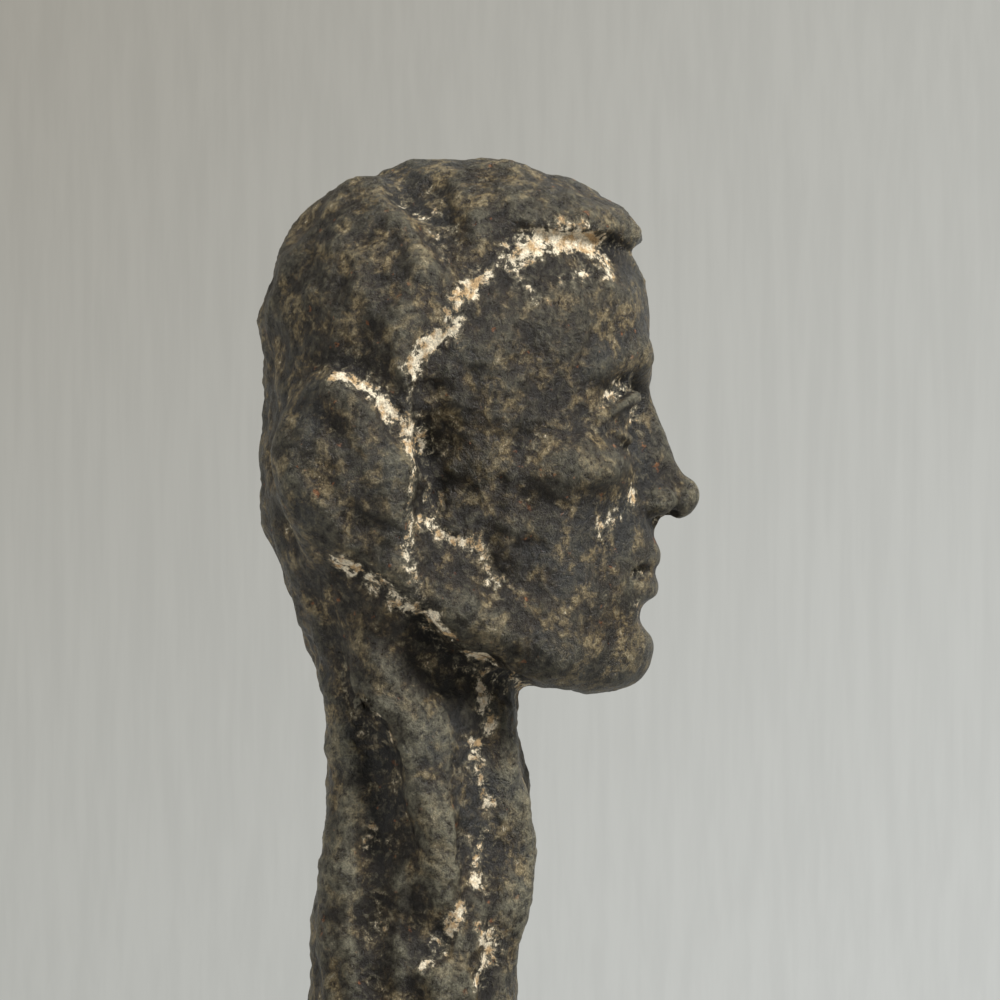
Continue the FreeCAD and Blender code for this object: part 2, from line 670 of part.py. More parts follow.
# ---------------------------------------------------------------- build and write
def build():
    coat_outer = coat_form("coat_outer")
    head_outer = head_form()
    arm = left_arm()
    nodes = [base_felt(), plinth(), name_plate(), tacks("name_tacks"), ground_plate()]
    nodes += fixings()
    nodes += [leg("left_leg_casting", 1), leg("right_leg_casting", -1), coat(coat_outer)]
    nodes += [arm, mirrored("right_arm_casting", arm), neck(), head(head_outer)]
    nodes += [crown_plug(head_outer)] + joint_pins(coat_outer, head_outer)
    doc.recompute()
    return nodes


def check(nodes):
    """Stops with a plain message if a feature failed, or a piece is not sound or not whole."""
    pieces = {"name_tacks": 4, "mounting_studs": 2, "flat_washers": 2, "lock_washers": 2,
              "hex_nuts": 2, "hip_pins": 2, "arm_pins": 2}
    failed = [o.Name for o in doc.Objects if {"Invalid", "Error"} & set(o.State)]
    if failed:
        raise RuntimeError(f"these features failed: {failed}")
    for node in nodes:
        if node.Shape.isNull() or not node.Shape.isValid() or not node.Shape.Solids:
            raise RuntimeError(f"{node.Name} is not a sound solid")
        if len(node.Shape.Solids) != pieces.get(node.Name, 1):
            raise RuntimeError(f"{node.Name} fell into {len(node.Shape.Solids)} solids")


def export(nodes):
    os.makedirs(OUT, exist_ok=True)
    for node in nodes:
        node.Shape.exportStep(os.path.join(OUT, f"{node.Label}.step"))
        box = node.Shape.BoundBox
        print(f"{node.Label:20s} solids {len(node.Shape.Solids)} volume "
              f"{node.Shape.Volume:9.1f} z {box.ZMin:7.2f} to {box.ZMax:7.2f}")


made = build()
check(made)
export(made)
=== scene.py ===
import math

import bpy
import numpy as np
from mathutils import Matrix, Vector


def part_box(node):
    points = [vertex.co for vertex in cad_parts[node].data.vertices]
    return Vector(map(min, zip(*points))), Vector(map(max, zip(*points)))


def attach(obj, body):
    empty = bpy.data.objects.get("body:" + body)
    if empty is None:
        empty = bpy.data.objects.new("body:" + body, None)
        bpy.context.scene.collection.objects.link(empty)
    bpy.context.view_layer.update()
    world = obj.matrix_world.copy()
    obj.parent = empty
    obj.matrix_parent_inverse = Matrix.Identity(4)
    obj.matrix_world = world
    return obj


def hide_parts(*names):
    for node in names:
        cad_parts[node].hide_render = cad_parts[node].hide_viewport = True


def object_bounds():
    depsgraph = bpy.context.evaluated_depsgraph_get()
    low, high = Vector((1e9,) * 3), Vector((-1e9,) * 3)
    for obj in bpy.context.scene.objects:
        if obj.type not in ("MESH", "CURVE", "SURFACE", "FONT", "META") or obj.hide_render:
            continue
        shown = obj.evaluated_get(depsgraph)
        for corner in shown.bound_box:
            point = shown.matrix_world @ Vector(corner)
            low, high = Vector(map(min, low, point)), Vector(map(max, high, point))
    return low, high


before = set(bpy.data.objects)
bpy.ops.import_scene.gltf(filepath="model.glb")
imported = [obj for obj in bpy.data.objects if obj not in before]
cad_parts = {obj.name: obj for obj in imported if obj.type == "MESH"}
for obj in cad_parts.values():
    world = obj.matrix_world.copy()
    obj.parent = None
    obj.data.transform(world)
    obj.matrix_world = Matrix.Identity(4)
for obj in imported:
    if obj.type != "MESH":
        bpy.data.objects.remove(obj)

mm = 0.001
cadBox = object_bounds()
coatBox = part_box("coat_casting")
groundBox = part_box("ground_plate")
hemZ = coatBox[0].z
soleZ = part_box("left_leg_casting")[0].z
headHigh = 48 * mm
chinZ = cadBox[1].z - headHigh

# the camera stands level with the head, on the figure's right
cameraSet = {"away": 350 * mm, "lens": 141, "aimY": -6.6 * mm, "aimUp": 17 * mm}


def makeCamera():
    bpy.ops.object.camera_add(
        location=(-cameraSet["away"], cameraSet["aimY"], chinZ + cameraSet["aimUp"]),
        rotation=(math.radians(90), 0, math.radians(-90)))
    camera = bpy.context.object
    camera.data.lens = cameraSet["lens"]
    camera.data.clip_start = 0.01
    bpy.context.scene.camera = camera


def deselectAll():
    bpy.ops.object.select_all(action="DESELECT")


def select(piece):
    deselectAll()
    piece.select_set(True)
    bpy.context.view_layer.objects.active = piece


def applyModifier(piece, kind, **settings):
    select(piece)
    modifier = piece.modifiers.new(kind.title(), kind)
    for name, value in settings.items():
        setattr(modifier, name, value)
    bpy.ops.object.modifier_apply(modifier=modifier.name)


def copyPiece(piece, name):
    copy = piece.copy()
    copy.data = piece.data.copy()
    copy.name = copy.data.name = name
    bpy.context.scene.collection.objects.link(copy)
    return copy


def readPoints(piece, kind="co"):
    # every vertex's place, or its normal
    flat = np.empty(len(piece.data.vertices) * 3, np.float32)
    piece.data.vertices.foreach_get(kind, flat)
    return flat.reshape(-1, 3).astype(float)


def writePoints(piece, points):
    piece.data.vertices.foreach_set("co", points.astype(np.float32).ravel())
    piece.data.update()


def writeMask(piece, name, values):
    mask = piece.data.attributes.new(name, "FLOAT", "POINT")
    mask.data.foreach_set("value", values.astype(np.float32))


# Clay: every casting is a heap of soft lumps. A field gives the distance from a point to
# the heap's skin, below nothing inside it, and lumps run into each other over their soft width.
farAway = 1e3
foldEnd = 0.1
slabRim = 0.8
patchEdge = 0.5
settleSet = {"nudge": 0.05, "leastSteep": 0.2, "stride": 1.2}
ballSet = {"segments": 20, "rings": 12, "high": 2.5, "rowMost": 12}


def turnAbout(axis, degrees):
    return np.array(Matrix.Rotation(math.radians(degrees), 3, axis))


def ovalField(points, spot, size, tilt=0, axis="X"):
    turned = (points - np.array(spot)) @ turnAbout(axis, tilt)
    near = np.linalg.norm(turned / np.array(size), axis=1)
    nearer = np.linalg.norm(turned / np.array(size) ** 2, axis=1)
    return near * (near - 1) / np.maximum(nearer, 1e-6)


def smoothPath(path, thick):
    # eases a path of a few places into a flowing one, and its thickness with it
    places = np.column_stack((np.array(path, float), thick))
    if len(places) < 3:
        return places[:, :3], places[:, 3]
    stops = np.arange(len(places), dtype=float)
    where = np.linspace(0, len(places) - 1, 3 * len(places) - 2)
    eased = np.column_stack([smoothRun(where, stops, column) for column in places.T])
    return eased[:, :3], eased[:, 3]


def ropeField(points, path, thick):
    path, thick = smoothPath(path, thick)
    best = np.full(len(points), farAway)
    for k in range(len(path) - 1):
        run = path[k + 1] - path[k]
        along = np.clip((points - path[k]) @ run / (run @ run), 0, 1)
        gap = np.linalg.norm(points - path[k] - along[:, None] * run, axis=1)
        best = np.minimum(best, gap - thick[k] - along * (thick[k + 1] - thick[k]))
    return best


def smoothRun(where, stops, values):
    slopes = np.gradient(values, stops)
    k = np.clip(np.searchsorted(stops, where) - 1, 0, len(stops) - 2)
    width = stops[k + 1] - stops[k]
    t = np.clip((where - stops[k]) / width, 0, 1)
    rise = 3 * t ** 2 - 2 * t ** 3
    return (values[k] * (1 - rise) + values[k + 1] * rise
            + slopes[k] * width * (t ** 3 - 2 * t ** 2 + t)
            + slopes[k + 1] * width * (t ** 3 - t ** 2))


def ringsAt(rings, heights):
    stops, *columns = np.array(rings).T
    return [smoothRun(heights, stops, column) for column in columns]


def towerField(points, rings, grow=0.0):
    # an upright tube through oval rings: height, half width, half depth, middle in x and y
    halfX, halfY, midX, midY = ringsAt(rings, points[:, 2])
    halfX, halfY = halfX + grow, halfY + grow
    ratio = np.hypot((points[:, 0] - midX) / halfX, (points[:, 1] - midY) / halfY)
    side = (ratio - 1) * np.minimum(halfX, halfY)
    ends = np.maximum(rings[0][0] - points[:, 2], points[:, 2] - rings[-1][0])
    return np.maximum(side, ends)


def onTower(rings, turns, rise=0.0):
    # places on a tower's skin, each given by its degrees round from the front and its height
    places = []
    for degrees, height in turns:
        halfX, halfY, midX, midY = [part[0] for part in ringsAt(rings, np.array([height]))]
        angle = math.radians(degrees)
        places.append((midX + (halfX + rise) * math.sin(angle),
                       midY - (halfY + rise) * math.cos(angle), height))
    return places


# A lump is its kind, its measures, and what it does to the heap: soft is how far it melts
# into it, take carves it out, and once keeps it from being mirrored to the other side.
def oval(spot, size, **extra):
    return {"kind": "oval", "spot": spot, "size": size, **extra}


def rope(path, thick, **extra):
    return {"kind": "rope", "path": path, "thick": thick, **extra}


def tower(rings, **extra):
    return {"kind": "tower", "rings": rings, **extra}


def slab(spot, size, corner, **extra):
    return {"kind": "slab", "spot": spot, "size": size, "corner": corner, **extra}


def patch(rings, rise, outline, **extra):
    return {"kind": "patch", "rings": rings, "rise": rise, "outline": outline, **extra}


def shaped(shape, **extra):
    return {"kind": "shape", "shape": shape, **extra}


def crease(rings, turns, deep, soft):
    # a fold's valley along a tower's skin, fading out at both ends
    thick = [foldEnd] + [deep] * (len(turns) - 2) + [foldEnd]
    return rope(onTower(rings, turns), thick, soft=soft, take=True)


def ridge(rings, turns, high, soft):
    # a fold's roll, most of it sunk in the skin
    thick = [foldEnd] + [high * 1.6] * (len(turns) - 2) + [foldEnd]
    return rope(onTower(rings, turns, -0.6 * high), thick, soft=soft)


def slabField(points, spot, size, corner):
    # a flat block with rounded corners and slightly rounded rims; size is its half lengths
    x, y, z = np.abs(points - np.array(spot)).T
    flat = np.hypot(np.maximum(x - size[0] + corner, 0), np.maximum(y - size[1] + corner, 0))
    side, top = flat - corner, z - size[2]
    past = np.hypot(np.maximum(side + slabRim, 0), np.maximum(top + slabRim, 0))
    return np.minimum(np.maximum(side, top) + slabRim, 0) + past - slabRim


def outlineField(across, up, outline):
    # distance to a flat outline, below nothing inside it
    corners = np.array(outline, float)
    best = np.full(len(across), farAway)
    inside = np.zeros(len(across), bool)
    for start, end in zip(corners, np.roll(corners, -1, axis=0)):
        run = end - start
        dx, dy = across - start[0], up - start[1]
        t = np.clip((dx * run[0] + dy * run[1]) / (run @ run), 0, 1)
        best = np.minimum(best, np.hypot(dx - t * run[0], dy - t * run[1]))
        crosses = (start[1] > up) != (end[1] > up)
        slope = run[0] / run[1] if run[1] else 0
        inside ^= crosses & (dx < slope * dy)
    return np.where(inside, -best, best)


def blendFields(first, second, soft):
    if soft <= 0:
        return np.minimum(first, second)
    mix = np.clip(0.5 + 0.5 * (first - second) / soft, 0, 1)
    return first * (1 - mix) + second * mix - soft * mix * (1 - mix)


def meetFields(first, second, soft):
    return -blendFields(-first, -second, soft)


def patchField(points, rings, rise, outline):
    # a layer of cloth laid on the front of a tower, inside an outline given in x and z
    skin = towerField(points, rings, rise)
    edge = outlineField(points[:, 0], points[:, 2], outline)
    return np.maximum(meetFields(skin, edge, patchEdge), points[:, 1])


def clayField(points, lumps):
    # distance to a heap of lumps, in millimetres; both sides are alike unless a lump says once
    total = np.full(len(points), farAway)
    mirrored = points.copy()
    mirrored[:, 0] = np.abs(mirrored[:, 0])
    for lump in lumps.values():
        spots = points if lump.get("once") else mirrored
        kind = lump["kind"]
        if kind == "oval":
            value = ovalField(spots, lump["spot"], lump["size"], lump.get("tilt", 0),
                              lump.get("axis", "X"))
        elif kind == "rope":
            value = ropeField(spots, lump["path"], lump["thick"])
        elif kind == "tower":
            value = towerField(spots, lump["rings"])
        elif kind == "slab":
            value = slabField(spots, lump["spot"], lump["size"], lump["corner"])
        elif kind == "patch":
            value = patchField(spots, lump["rings"], lump["rise"], lump["outline"])
        else:
            value = lump["shape"](spots)
        if lump.get("take"):
            total = meetFields(total, -value, lump.get("soft", 0))
        else:
            total = blendFields(total, value, lump.get("soft", 0))
    return total


def settle(piece, lumps, base, rounds):
    # draws every vertex onto the clay's skin
    nudge = settleSet["nudge"]
    for _ in range(rounds):
        points = (readPoints(piece) - base) / mm
        value = clayField(points, lumps)
        slope = np.empty_like(points)
        for axis in range(3):
            nudged = points.copy()
            nudged[:, axis] += nudge
            slope[:, axis] = (clayField(nudged, lumps) - value) / nudge
        steep = np.maximum((slope ** 2).sum(1), settleSet["leastSteep"])
        step = slope * (value / steep)[:, None]
        length = np.linalg.norm(step, axis=1)
        step *= np.minimum(1, settleSet["stride"] / np.maximum(length, 1e-9))[:, None]
        writePoints(piece, (points - step) * mm + base)


def makeBall():
    bpy.ops.mesh.primitive_uv_sphere_add(segments=ballSet["segments"],
                                         ring_count=ballSet["rings"], radius=1)
    ball = bpy.context.object
    points = readPoints(ball)
    faces = [tuple(face.vertices) for face in ball.data.polygons]
    bpy.data.objects.remove(ball)
    return points, faces


def lumpBalls(lump):
    # the balls that fill a lump: the oval itself, or a row of them along a rope or a tower
    if lump["kind"] == "oval":
        yield lump["spot"], lump["size"], lump.get("tilt", 0)
    elif lump["kind"] == "rope":
        path, thick = smoothPath(lump["path"], lump["thick"])
        for k in range(len(path) - 1):
            count = max(2, int(np.linalg.norm(path[k + 1] - path[k]) / (0.6 * thick[k])) + 1)
            for t in np.linspace(0, 1, min(count, ballSet["rowMost"])):
                size = thick[k] * (1 - t) + thick[k + 1] * t
                yield path[k] * (1 - t) + path[k + 1] * t, (size,) * 3, 0
    elif lump["kind"] == "shape":
        yield from lump.get("balls", ())
    elif lump["kind"] == "slab":
        (x, y, z), (wide, deep, high), corner = lump["spot"], lump["size"], lump["corner"]
        for dx in np.arange(corner - wide, wide - corner + 1, 4.0):
            for dy in np.arange(corner - deep, deep - corner + 1, 4.0):
                yield (x + dx, y + dy, z), (corner, corner, high), 0
    elif lump["kind"] == "tower":
        for height in np.arange(lump["rings"][0][0], lump["rings"][-1][0], 2.0):
            halfX, halfY, midX, midY = [part[0] for part in
                                        ringsAt(lump["rings"], np.array([height]))]
            yield (midX, midY, height), (halfX, halfY, ballSet["high"]), 0


def addLumps(name, lumps, base):
    # a rough heap of balls that fills every lump that adds clay
    ballPoints, ballFaces = makeBall()
    points, faces = [], []
    for lump in lumps.values():
        for spot, size, tilt in [] if lump.get("take") else lumpBalls(lump):
            for side in (1,) if lump.get("once") else (1, -1):
                place = np.array((side * spot[0], spot[1], spot[2]))
                start = len(points) * len(ballPoints)
                points.append((ballPoints * np.array(size)) @ turnAbout("X", tilt).T + place)
                faces += [tuple(corner + start for corner in face) for face in ballFaces]
    mesh = bpy.data.meshes.new(name)
    mesh.from_pydata(np.concatenate(points) * mm + base, [], faces)
    piece = bpy.data.objects.new(name, mesh)
    bpy.context.scene.collection.objects.link(piece)
    return piece


def modelClay(name, lumps, base, rough, fine, rounds=4):
    piece = addLumps(name, lumps, base)
    applyModifier(piece, "REMESH", mode="VOXEL", voxel_size=rough * mm)
    settle(piece, lumps, base, rounds)
    applyModifier(piece, "REMESH", mode="VOXEL", voxel_size=fine * mm)
    settle(piece, lumps, base, 2)
    applyModifier(piece, "SMOOTH", factor=0.5, iterations=2)
    return piece


# The skin of every casting: pads of clay with creases between them, dimples pressed by a
# fingertip, dents and pits, each as its size and depth in millimetres.
skinSet = {"swell": (8.0, 0.9), "pads": (7.5, 1.0), "pats": (4.4, 0.9), "dents": (2.2, 0.5),
           "pits": (0.8, 0.2)}


def makeTexture(name, kind, scale, **settings):
    texture = bpy.data.textures.new(name, kind)
    texture.noise_scale = scale * mm
    for key, value in settings.items():
        setattr(texture, key, value)
    return texture


skinTextures = {
    "swell": makeTexture("swell", "CLOUDS", skinSet["swell"][0], noise_depth=1),
    "pads": makeTexture("pads", "VORONOI", skinSet["pads"][0], weight_1=-1.0, weight_2=1.0),
    "pats": makeTexture("pats", "VORONOI", skinSet["pats"][0]),
    "dents": makeTexture("dents", "CLOUDS", skinSet["dents"][0], noise_depth=2),
    "pits": makeTexture("pits", "CLOUDS", skinSet["pits"][0], noise_depth=2),
}


def workSkin(piece, calm=None, amount=1.0):
    # presses the skin in, all over or as strongly as calm says for each vertex
    group = piece.vertex_groups.new(name="worked")
    points = readPoints(piece)
    steps = np.round(calm(points) * 10).astype(int) if calm else np.full(len(points), 10)
    for step in np.unique(steps):
        group.add(np.nonzero(steps == step)[0].tolist(), step / 10, "REPLACE")
    for name, (scale, depth) in skinSet.items():
        applyModifier(piece, "DISPLACE", texture=skinTextures[name], texture_coords="LOCAL",
                      strength=depth * amount * mm, mid_level=0.5, vertex_group="worked")


def smoothedPoints(piece, rounds):
    copy = copyPiece(piece, "smoothed")
    applyModifier(copy, "SMOOTH", factor=0.5, iterations=rounds)
    points = readPoints(copy)
    bpy.data.objects.remove(copy)
    return points


def strokeWeight(points, path, width):
    # 1 along a path on the skin, falling smoothly to 0 at its width
    gap = ropeField(points, path, (0,) * len(path))
    return np.clip(1 - (gap / width) ** 2, 0, 1) ** 2


def onBothSides(points):
    both = points.copy()
    both[:, 0] = np.abs(both[:, 0])
    return both


def snapPath(piece, path, base):
    # moves a stroke's places onto the skin
    placed = []
    for spot in path:
        place = piece.closest_point_on_mesh(Vector(base + np.array(spot) * mm))[1]
        placed.append((np.array(place) - base) / mm)
    return placed


skinReach = [(14, 0.2, 0.4), (120, 0.6, 0.6)]
# on the head a third, broadest reach also makes whole grooves darker as painted shade and whole strands
# paler as painted light
headReach = [(14, 0.2, 0.35), (120, 0.6, 0.4), (420, 1.3, 0.65)]


def finishSkin(piece, crust=None, reach=skinReach, wear_and_light=1.0):
    # marks hollows, ridges and crusted places for the patina, and for painted shade in the hollows and
    # painted light on the ridges: each reach is the rounds of smoothing that the skin is compared with,
    # the depth that counts in full, and its share
    points, normals = readPoints(piece), readPoints(piece, "normal")
    hollow = np.zeros(len(points))
    for rounds, depth, share in reach:
        deep = ((smoothedPoints(piece, rounds) - points) * normals).sum(1) / mm
        hollow += np.clip(deep / depth, -1, 1) * share
    writeMask(piece, "hollow", np.clip(hollow, 0, 1))
    writeMask(piece, "ridge", np.clip(-hollow * wear_and_light, 0, 1))
    writeMask(piece, "crust", np.zeros(len(points)) if crust is None else crust)
    piece.data.shade_smooth()


def keepSide(piece, spot, normal):
    # cuts a piece along a plane, keeps what lies behind it and closes the cut
    select(piece)
    bpy.ops.object.mode_set(mode="EDIT")
    bpy.ops.mesh.select_all(action="SELECT")
    bpy.ops.mesh.bisect(plane_co=spot, plane_no=normal, use_fill=True, clear_outer=True)
    bpy.ops.object.mode_set(mode="OBJECT")
    bpy.ops.object.shade_smooth_by_angle(angle=math.radians(60))


# Head and neck, in millimetres: x to the figure's left, y backwards, z up from the chin.
headBase = np.array((0, 0, chinZ))
faceWindow = {"y": -16.0, "z": 19.8, "deep": 17.2, "high": 19.4, "power": 3.2, "edge": 2.8}


# the hood of hair: a skullcap, a roll over the forehead, the fall behind and the nape, each
# as its middle, its half lengths and its tilt in degrees
hoodParts = [
    ((0, -2.6, 31), (17, 18, 16), 26), ((0, -11, 41.2), (12.6, 9.8, 4.9), 20),
    ((0, 3.8, 18), (14.8, 11.2, 15), -8), ((0, 2.2, 5.5), (10.6, 8.6, 9.5), 0)]


def hairField(points):
    cap, roll, fall, nape = [ovalField(points, *part) for part in hoodParts]
    hood = blendFields(blendFields(cap, roll, 3.0), blendFields(fall, nape, 4.0), 5.0)
    window, power = faceWindow, faceWindow["power"]
    ratio = ((np.abs(points[:, 1] - window["y"]) / window["deep"]) ** power
             + (np.abs(points[:, 2] - window["z"]) / window["high"]) ** power)
    opening = (ratio ** (1 / power) - 1) * window["deep"]
    return meetFields(hood, -opening, window["edge"])


headForm = {
    "skull": oval((0, -2.8, 30.6), (15.6, 16.8, 15.4), tilt=14),
    "forehead": oval((0, -9.4, 34.2), (13.6, 10.2, 9.6), soft=3),
    "midFace": oval((0, -8.8, 17.5), (12.4, 10.8, 15.5), soft=4),
    "temple": oval((0, -4.6, 19.5), (13, 9, 15), soft=3),
    "jawMass": oval((0, -9.6, 7.8), (10.4, 9.2, 7.4), soft=4),
    "jawBack": oval((0, -3, 9), (11.4, 7.5, 7.5), soft=3),
    "chin": oval((0, -16.6, 3.6), (4.8, 3.8, 3.6), soft=3),
    "cheekBone": oval((8.4, -12.8, 19.8), (4.8, 4.8, 3), soft=2.5),
    "jawLine": rope([(10.6, 2, 15), (10.6, -3, 7.8), (7.4, -10.6, 3.8), (3, -15.4, 2.9)],
        (1.6, 2.2, 2.6, 2.6), soft=3),
    "muzzle": oval((0, -15.8, 11.2), (6.6, 4.6, 5.4), soft=3),
    "socket": oval((6.3, -21, 24.8), (5, 4.8, 3.6), take=True, soft=2.2),
    "brow": rope([(1.6, -18.6, 28.4), (5.6, -18.2, 30), (10.2, -14.8, 29)], (1.5, 1.7, 1.3), soft=1.6),
    "nose": rope([(0, -17.6, 27.6), (0, -19.2, 23.6), (0, -21.4, 18.6), (0, -22.4, 17.3)],
        (1.9, 1.8, 2, 2.2), soft=1.4),
    "noseRoot": oval((0, -18.6, 19.5), (3.2, 3.2, 5), tilt=-20, soft=1.5),
    "noseWing": oval((2.7, -20.3, 17.1), (1.5, 2.1, 1.6), soft=0.7),
    "nostril": oval((1.35, -21.4, 15.3), (0.8, 1.2, 0.9), take=True, soft=0.4),
    "eyeBall": oval((6.2, -14.9, 24.3), (3.4, 3.3, 3), soft=0.5),
    "upperLid": rope([(2.8, -16.6, 24), (4.2, -18, 25.4), (6.3, -18.4, 26), (8.5, -17.3, 25.4),
        (10, -15.3, 24)], (0.5, 0.7, 0.8, 0.7, 0.5), soft=0.45),
    "lowerLid": rope([(2.9, -16.7, 23.8), (4.4, -17.7, 22.7), (6.4, -17.9, 22.3), (8.5, -16.9, 22.8),
        (9.9, -15.2, 23.8)], (0.4, 0.55, 0.6, 0.55, 0.4), soft=0.5),
    "upperLip": rope([(0, -19.9, 11.9), (2.2, -19.6, 12.1), (5.2, -17.4, 10.9)], (1, 1.05, 0.5),
        soft=0.8),
    "lowerLip": rope([(0, -19.4, 9.2), (2.4, -19, 9.3), (5, -17.4, 10.4)], (1.3, 1.2, 0.5), soft=0.9),
    "mouthLine": rope([(0, -21.3, 10.5), (3, -20.7, 10.6), (5.8, -18, 10.5)], (0.6, 0.6, 0.5), take=True,
        soft=0.35),
    "chinFold": rope([(0, -20.4, 6.6), (3.4, -19.4, 7)], (1.2, 0.8), take=True, soft=1.4),
    "philtrum": rope([(0, -21.3, 13.2), (0, -21.6, 15)], (0.5, 0.5), take=True, soft=0.7),
    "hair": shaped(hairField, soft=0.6, balls=hoodParts),
    "crownFill": oval((0, -2, 34), (14.6, 14.6, 12.6)),
    "parting": rope([(0, 4.8, 48.2), (6, 3.2, 46.6), (11.4, -0.6, 43.2), (15.4, -3, 38.4),
        (16.4, -4.2, 35.4)], (1, 1.3, 1.4, 1.2, 0.5), take=True, soft=2.2),
    "sideLock": rope([(13.4, -1, 34), (14.8, 2.8, 27), (14.2, 2.8, 18), (11.8, 2.2, 9)],
        (1.2, 1.7, 1.9, 1.6), soft=3),
    "lowLock": oval((12.4, 7, 19.6), (4.6, 6.2, 8.2), tilt=-14, soft=2.2),
    "earCurl": rope([(13.6, 9.6, 26.4), (15.2, 6.6, 26), (15.4, 3.8, 22.6), (14, 2.8, 18)],
        (0.8, 2, 2, 1.2), soft=1.8),
    "curlGroove": rope([(15.6, 9.8, 30.6), (17.2, 6.6, 29.4), (17.2, 3, 26.4), (16.4, 0.9, 22)],
        (0.4, 1.3, 1.3, 0.5), take=True, soft=1.2),
    "throat": tower([(-39.5, 9.4, 9.6, 0, 1.5), (-24, 8.9, 9.5, 0, 1.1), (-12, 8.6, 9.4, 0, 0.2),
        (-2, 8.3, 8.8, 0, 0.2), (8, 8.4, 8.8, 0, 1.2)], soft=1.6),
    "napeStrip": rope([(4.4, 7.2, 6), (4.2, 6.2, -4), (4.4, 6, -16), (4.6, 6.6, -28), (4.8, 7.6, -38)],
        (3.2, 3, 3.5, 3.3, 3.4), soft=0.9),
    "strand": rope([(6.4, 8, 13), (8, 4, 3), (7.2, 0, -5), (7.2, -1.6, -12), (6.8, -2.2, -20),
        (6.8, -1.4, -38)], (2.4, 3.4, 3.5, 3.3, 3.1, 3.2), soft=0.7),
    "throatStrip": rope([(3.4, -4.8, 0), (3.4, -6.2, -8), (3.4, -6.8, -15), (3.2, -5.4, -24),
        (3.2, -5, -38)], (2.8, 3.1, 3.2, 3.1, 3.2), soft=0.7),
    "stripGroove": rope([(9, 4.8, 0), (9.4, 4.4, -8), (9.6, 4.4, -17), (9.4, 4.9, -30)],
        (0.8, 2.2, 2.2, 1.2), take=True, soft=1.2),
    "throatGroove": rope([(9, -4.2, 1), (9.4, -4.9, -8), (9.4, -5.2, -17), (9.2, -6.6, -26)],
        (0.6, 1.9, 1.9, 1), take=True, soft=1),
    "neckPit": rope([(9.8, -3.4, -18.6), (10.2, -0.8, -21.5), (10.2, 0.4, -24)], (0.4, 0.9, 0.4),
        take=True, soft=1.2),
    "foot": shaped(lambda points: points[:, 2] + 38, take=True),
}

# pale residue lines and patches, each a path with its width and strength
headCrust = [
    ([(15, -7.5, 38.4), (12, -11, 39.4), (9.4, -14, 39.6)], 2.6, 0.95),
    ([(12.6, -12, 36), (9, -15.6, 36.4)], 1.7, 0.8),
    ([(15, -7.6, 36.4), (14, -9.6, 34.6)], 1.5, 0.7),
    ([(6, -18, 38.8), (0, -20, 37.8)], 1.3, 0.5),
    ([(16, -5, 37), (16, -3.4, 34), (16, -3, 31.6)], 1.8, 0.95),
    ([(16, -1.2, 30.6), (16, 0.8, 28.4)], 1.8, 0.95),
    ([(16, 1, 27), (15.5, 1.6, 24)], 1.3, 0.7),
    ([(16, 7.4, 29), (16.6, 4.6, 27), (16, 2.4, 24.4)], 1.5, 1),
    ([(15, 1.2, 23), (15, 1.2, 15), (13.6, 0.8, 9)], 1.4, 0.85),
    ([(14, -1.5, 14.5), (13, -4.5, 13)], 1.6, 0.75),
    ([(13.5, 7, 11), (13, 3.6, 9.6), (12, 0.6, 8)], 2.3, 0.95),
    ([(11.5, -0.8, 8), (9.4, -4, 2.6), (8.6, -6.8, -2)], 1.8, 1),
    ([(8, -4.6, -4.4), (8, -5.9, -7.6), (7.6, -6.2, -9.4)], 1.5, 0.8),
    ([(7.6, -5.4, -12.4), (7.8, -4.8, -15.6), (8, -5.6, -18.4)], 1.2, 0.8),
    ([(8.4, -6.2, -20.6), (7.6, -6.9, -23), (7.4, -6.4, -25.6)], 1.7, 0.85),
    ([(9.2, -3.4, -18.6), (9.6, 0.2, -23.4)], 1.5, 0.95),
    ([(9, 4.6, -4), (8.8, 4.4, -14)], 1, 0.6),
    ([(6.2, -18.6, 17), (9.4, -15.4, 14.6)], 1.8, 0.75),
    ([(5.4, -18.4, 8), (2, -20, 6.8)], 1.4, 0.75),
]
headSplit = {"z": 1.3, "slope": 0.32}


def calmHead(points):
    # the skin is worked less over the face than over the hair and neck
    x, y, z = ((points - headBase) / mm).T
    face = np.clip((-8 - y) / 5, 0, 1) * np.clip((37 - z) / 3, 0, 1) * np.clip((z + 2) / 3, 0, 1)
    return 1 - 0.6 * face


def makeHead():
    whole = modelClay("figure_head", headForm, headBase, 0.8, 0.3)
    workSkin(whole, calmHead)
    points = onBothSides((readPoints(whole) - headBase) / mm)
    crust = np.zeros(len(points))
    for path, width, strength in headCrust:
        path = snapPath(whole, path, headBase)
        crust = np.maximum(crust, strength * strokeWeight(points, path, width))
    # the neck's ridges are made paler than the hair's, partly as rubbed wear and partly as painted light
    wear_and_light = 1 + 1.4 * np.clip((2 - points[:, 2]) / 6, 0, 1)
    finishSkin(whole, crust, headReach, wear_and_light)
    neck = copyPiece(whole, "figure_neck")
    spot = Vector((0, 0, chinZ + headSplit["z"] * mm))
    up = Vector((0, -headSplit["slope"], 1)).normalized()
    keepSide(whole, spot, -up)
    keepSide(neck, spot, up)
    return whole, neck


figureHead, figureNeck = makeHead()
print("head done")

# Coat, in millimetres from the middle of the hem.
trunkRings = [
    (0, 28.3, 22.3, 0, 1.5), (34, 25.3, 19.3, 0, 1), (72, 22.3, 17.1, 0, 0.6),
    (104, 20.3, 15.1, 0, 1), (138, 23.3, 16.5, 0, 0.6), (156, 24.8, 16.3, 0, 1.4),
    (169, 22, 14.8, 0, 2), (179, 15.5, 13.3, 0, 2), (188, 13.2, 13, 0, 1.4)]
# the lapels' inner edges, as distances from the middle and heights
lapelInner = [(0.6, 138), (3.4, 152), (4.8, 165), (6.4, 188)]
collarRise = 2.3
overlap = {"low": 3.4, "high": 2.0, "top": 140, "rise": 1.4, "fade": 12}
buttonSet = {"x": -1.8, "radius": 2.5, "thick": 2.0, "heights": (131, 114, 97, 80)}


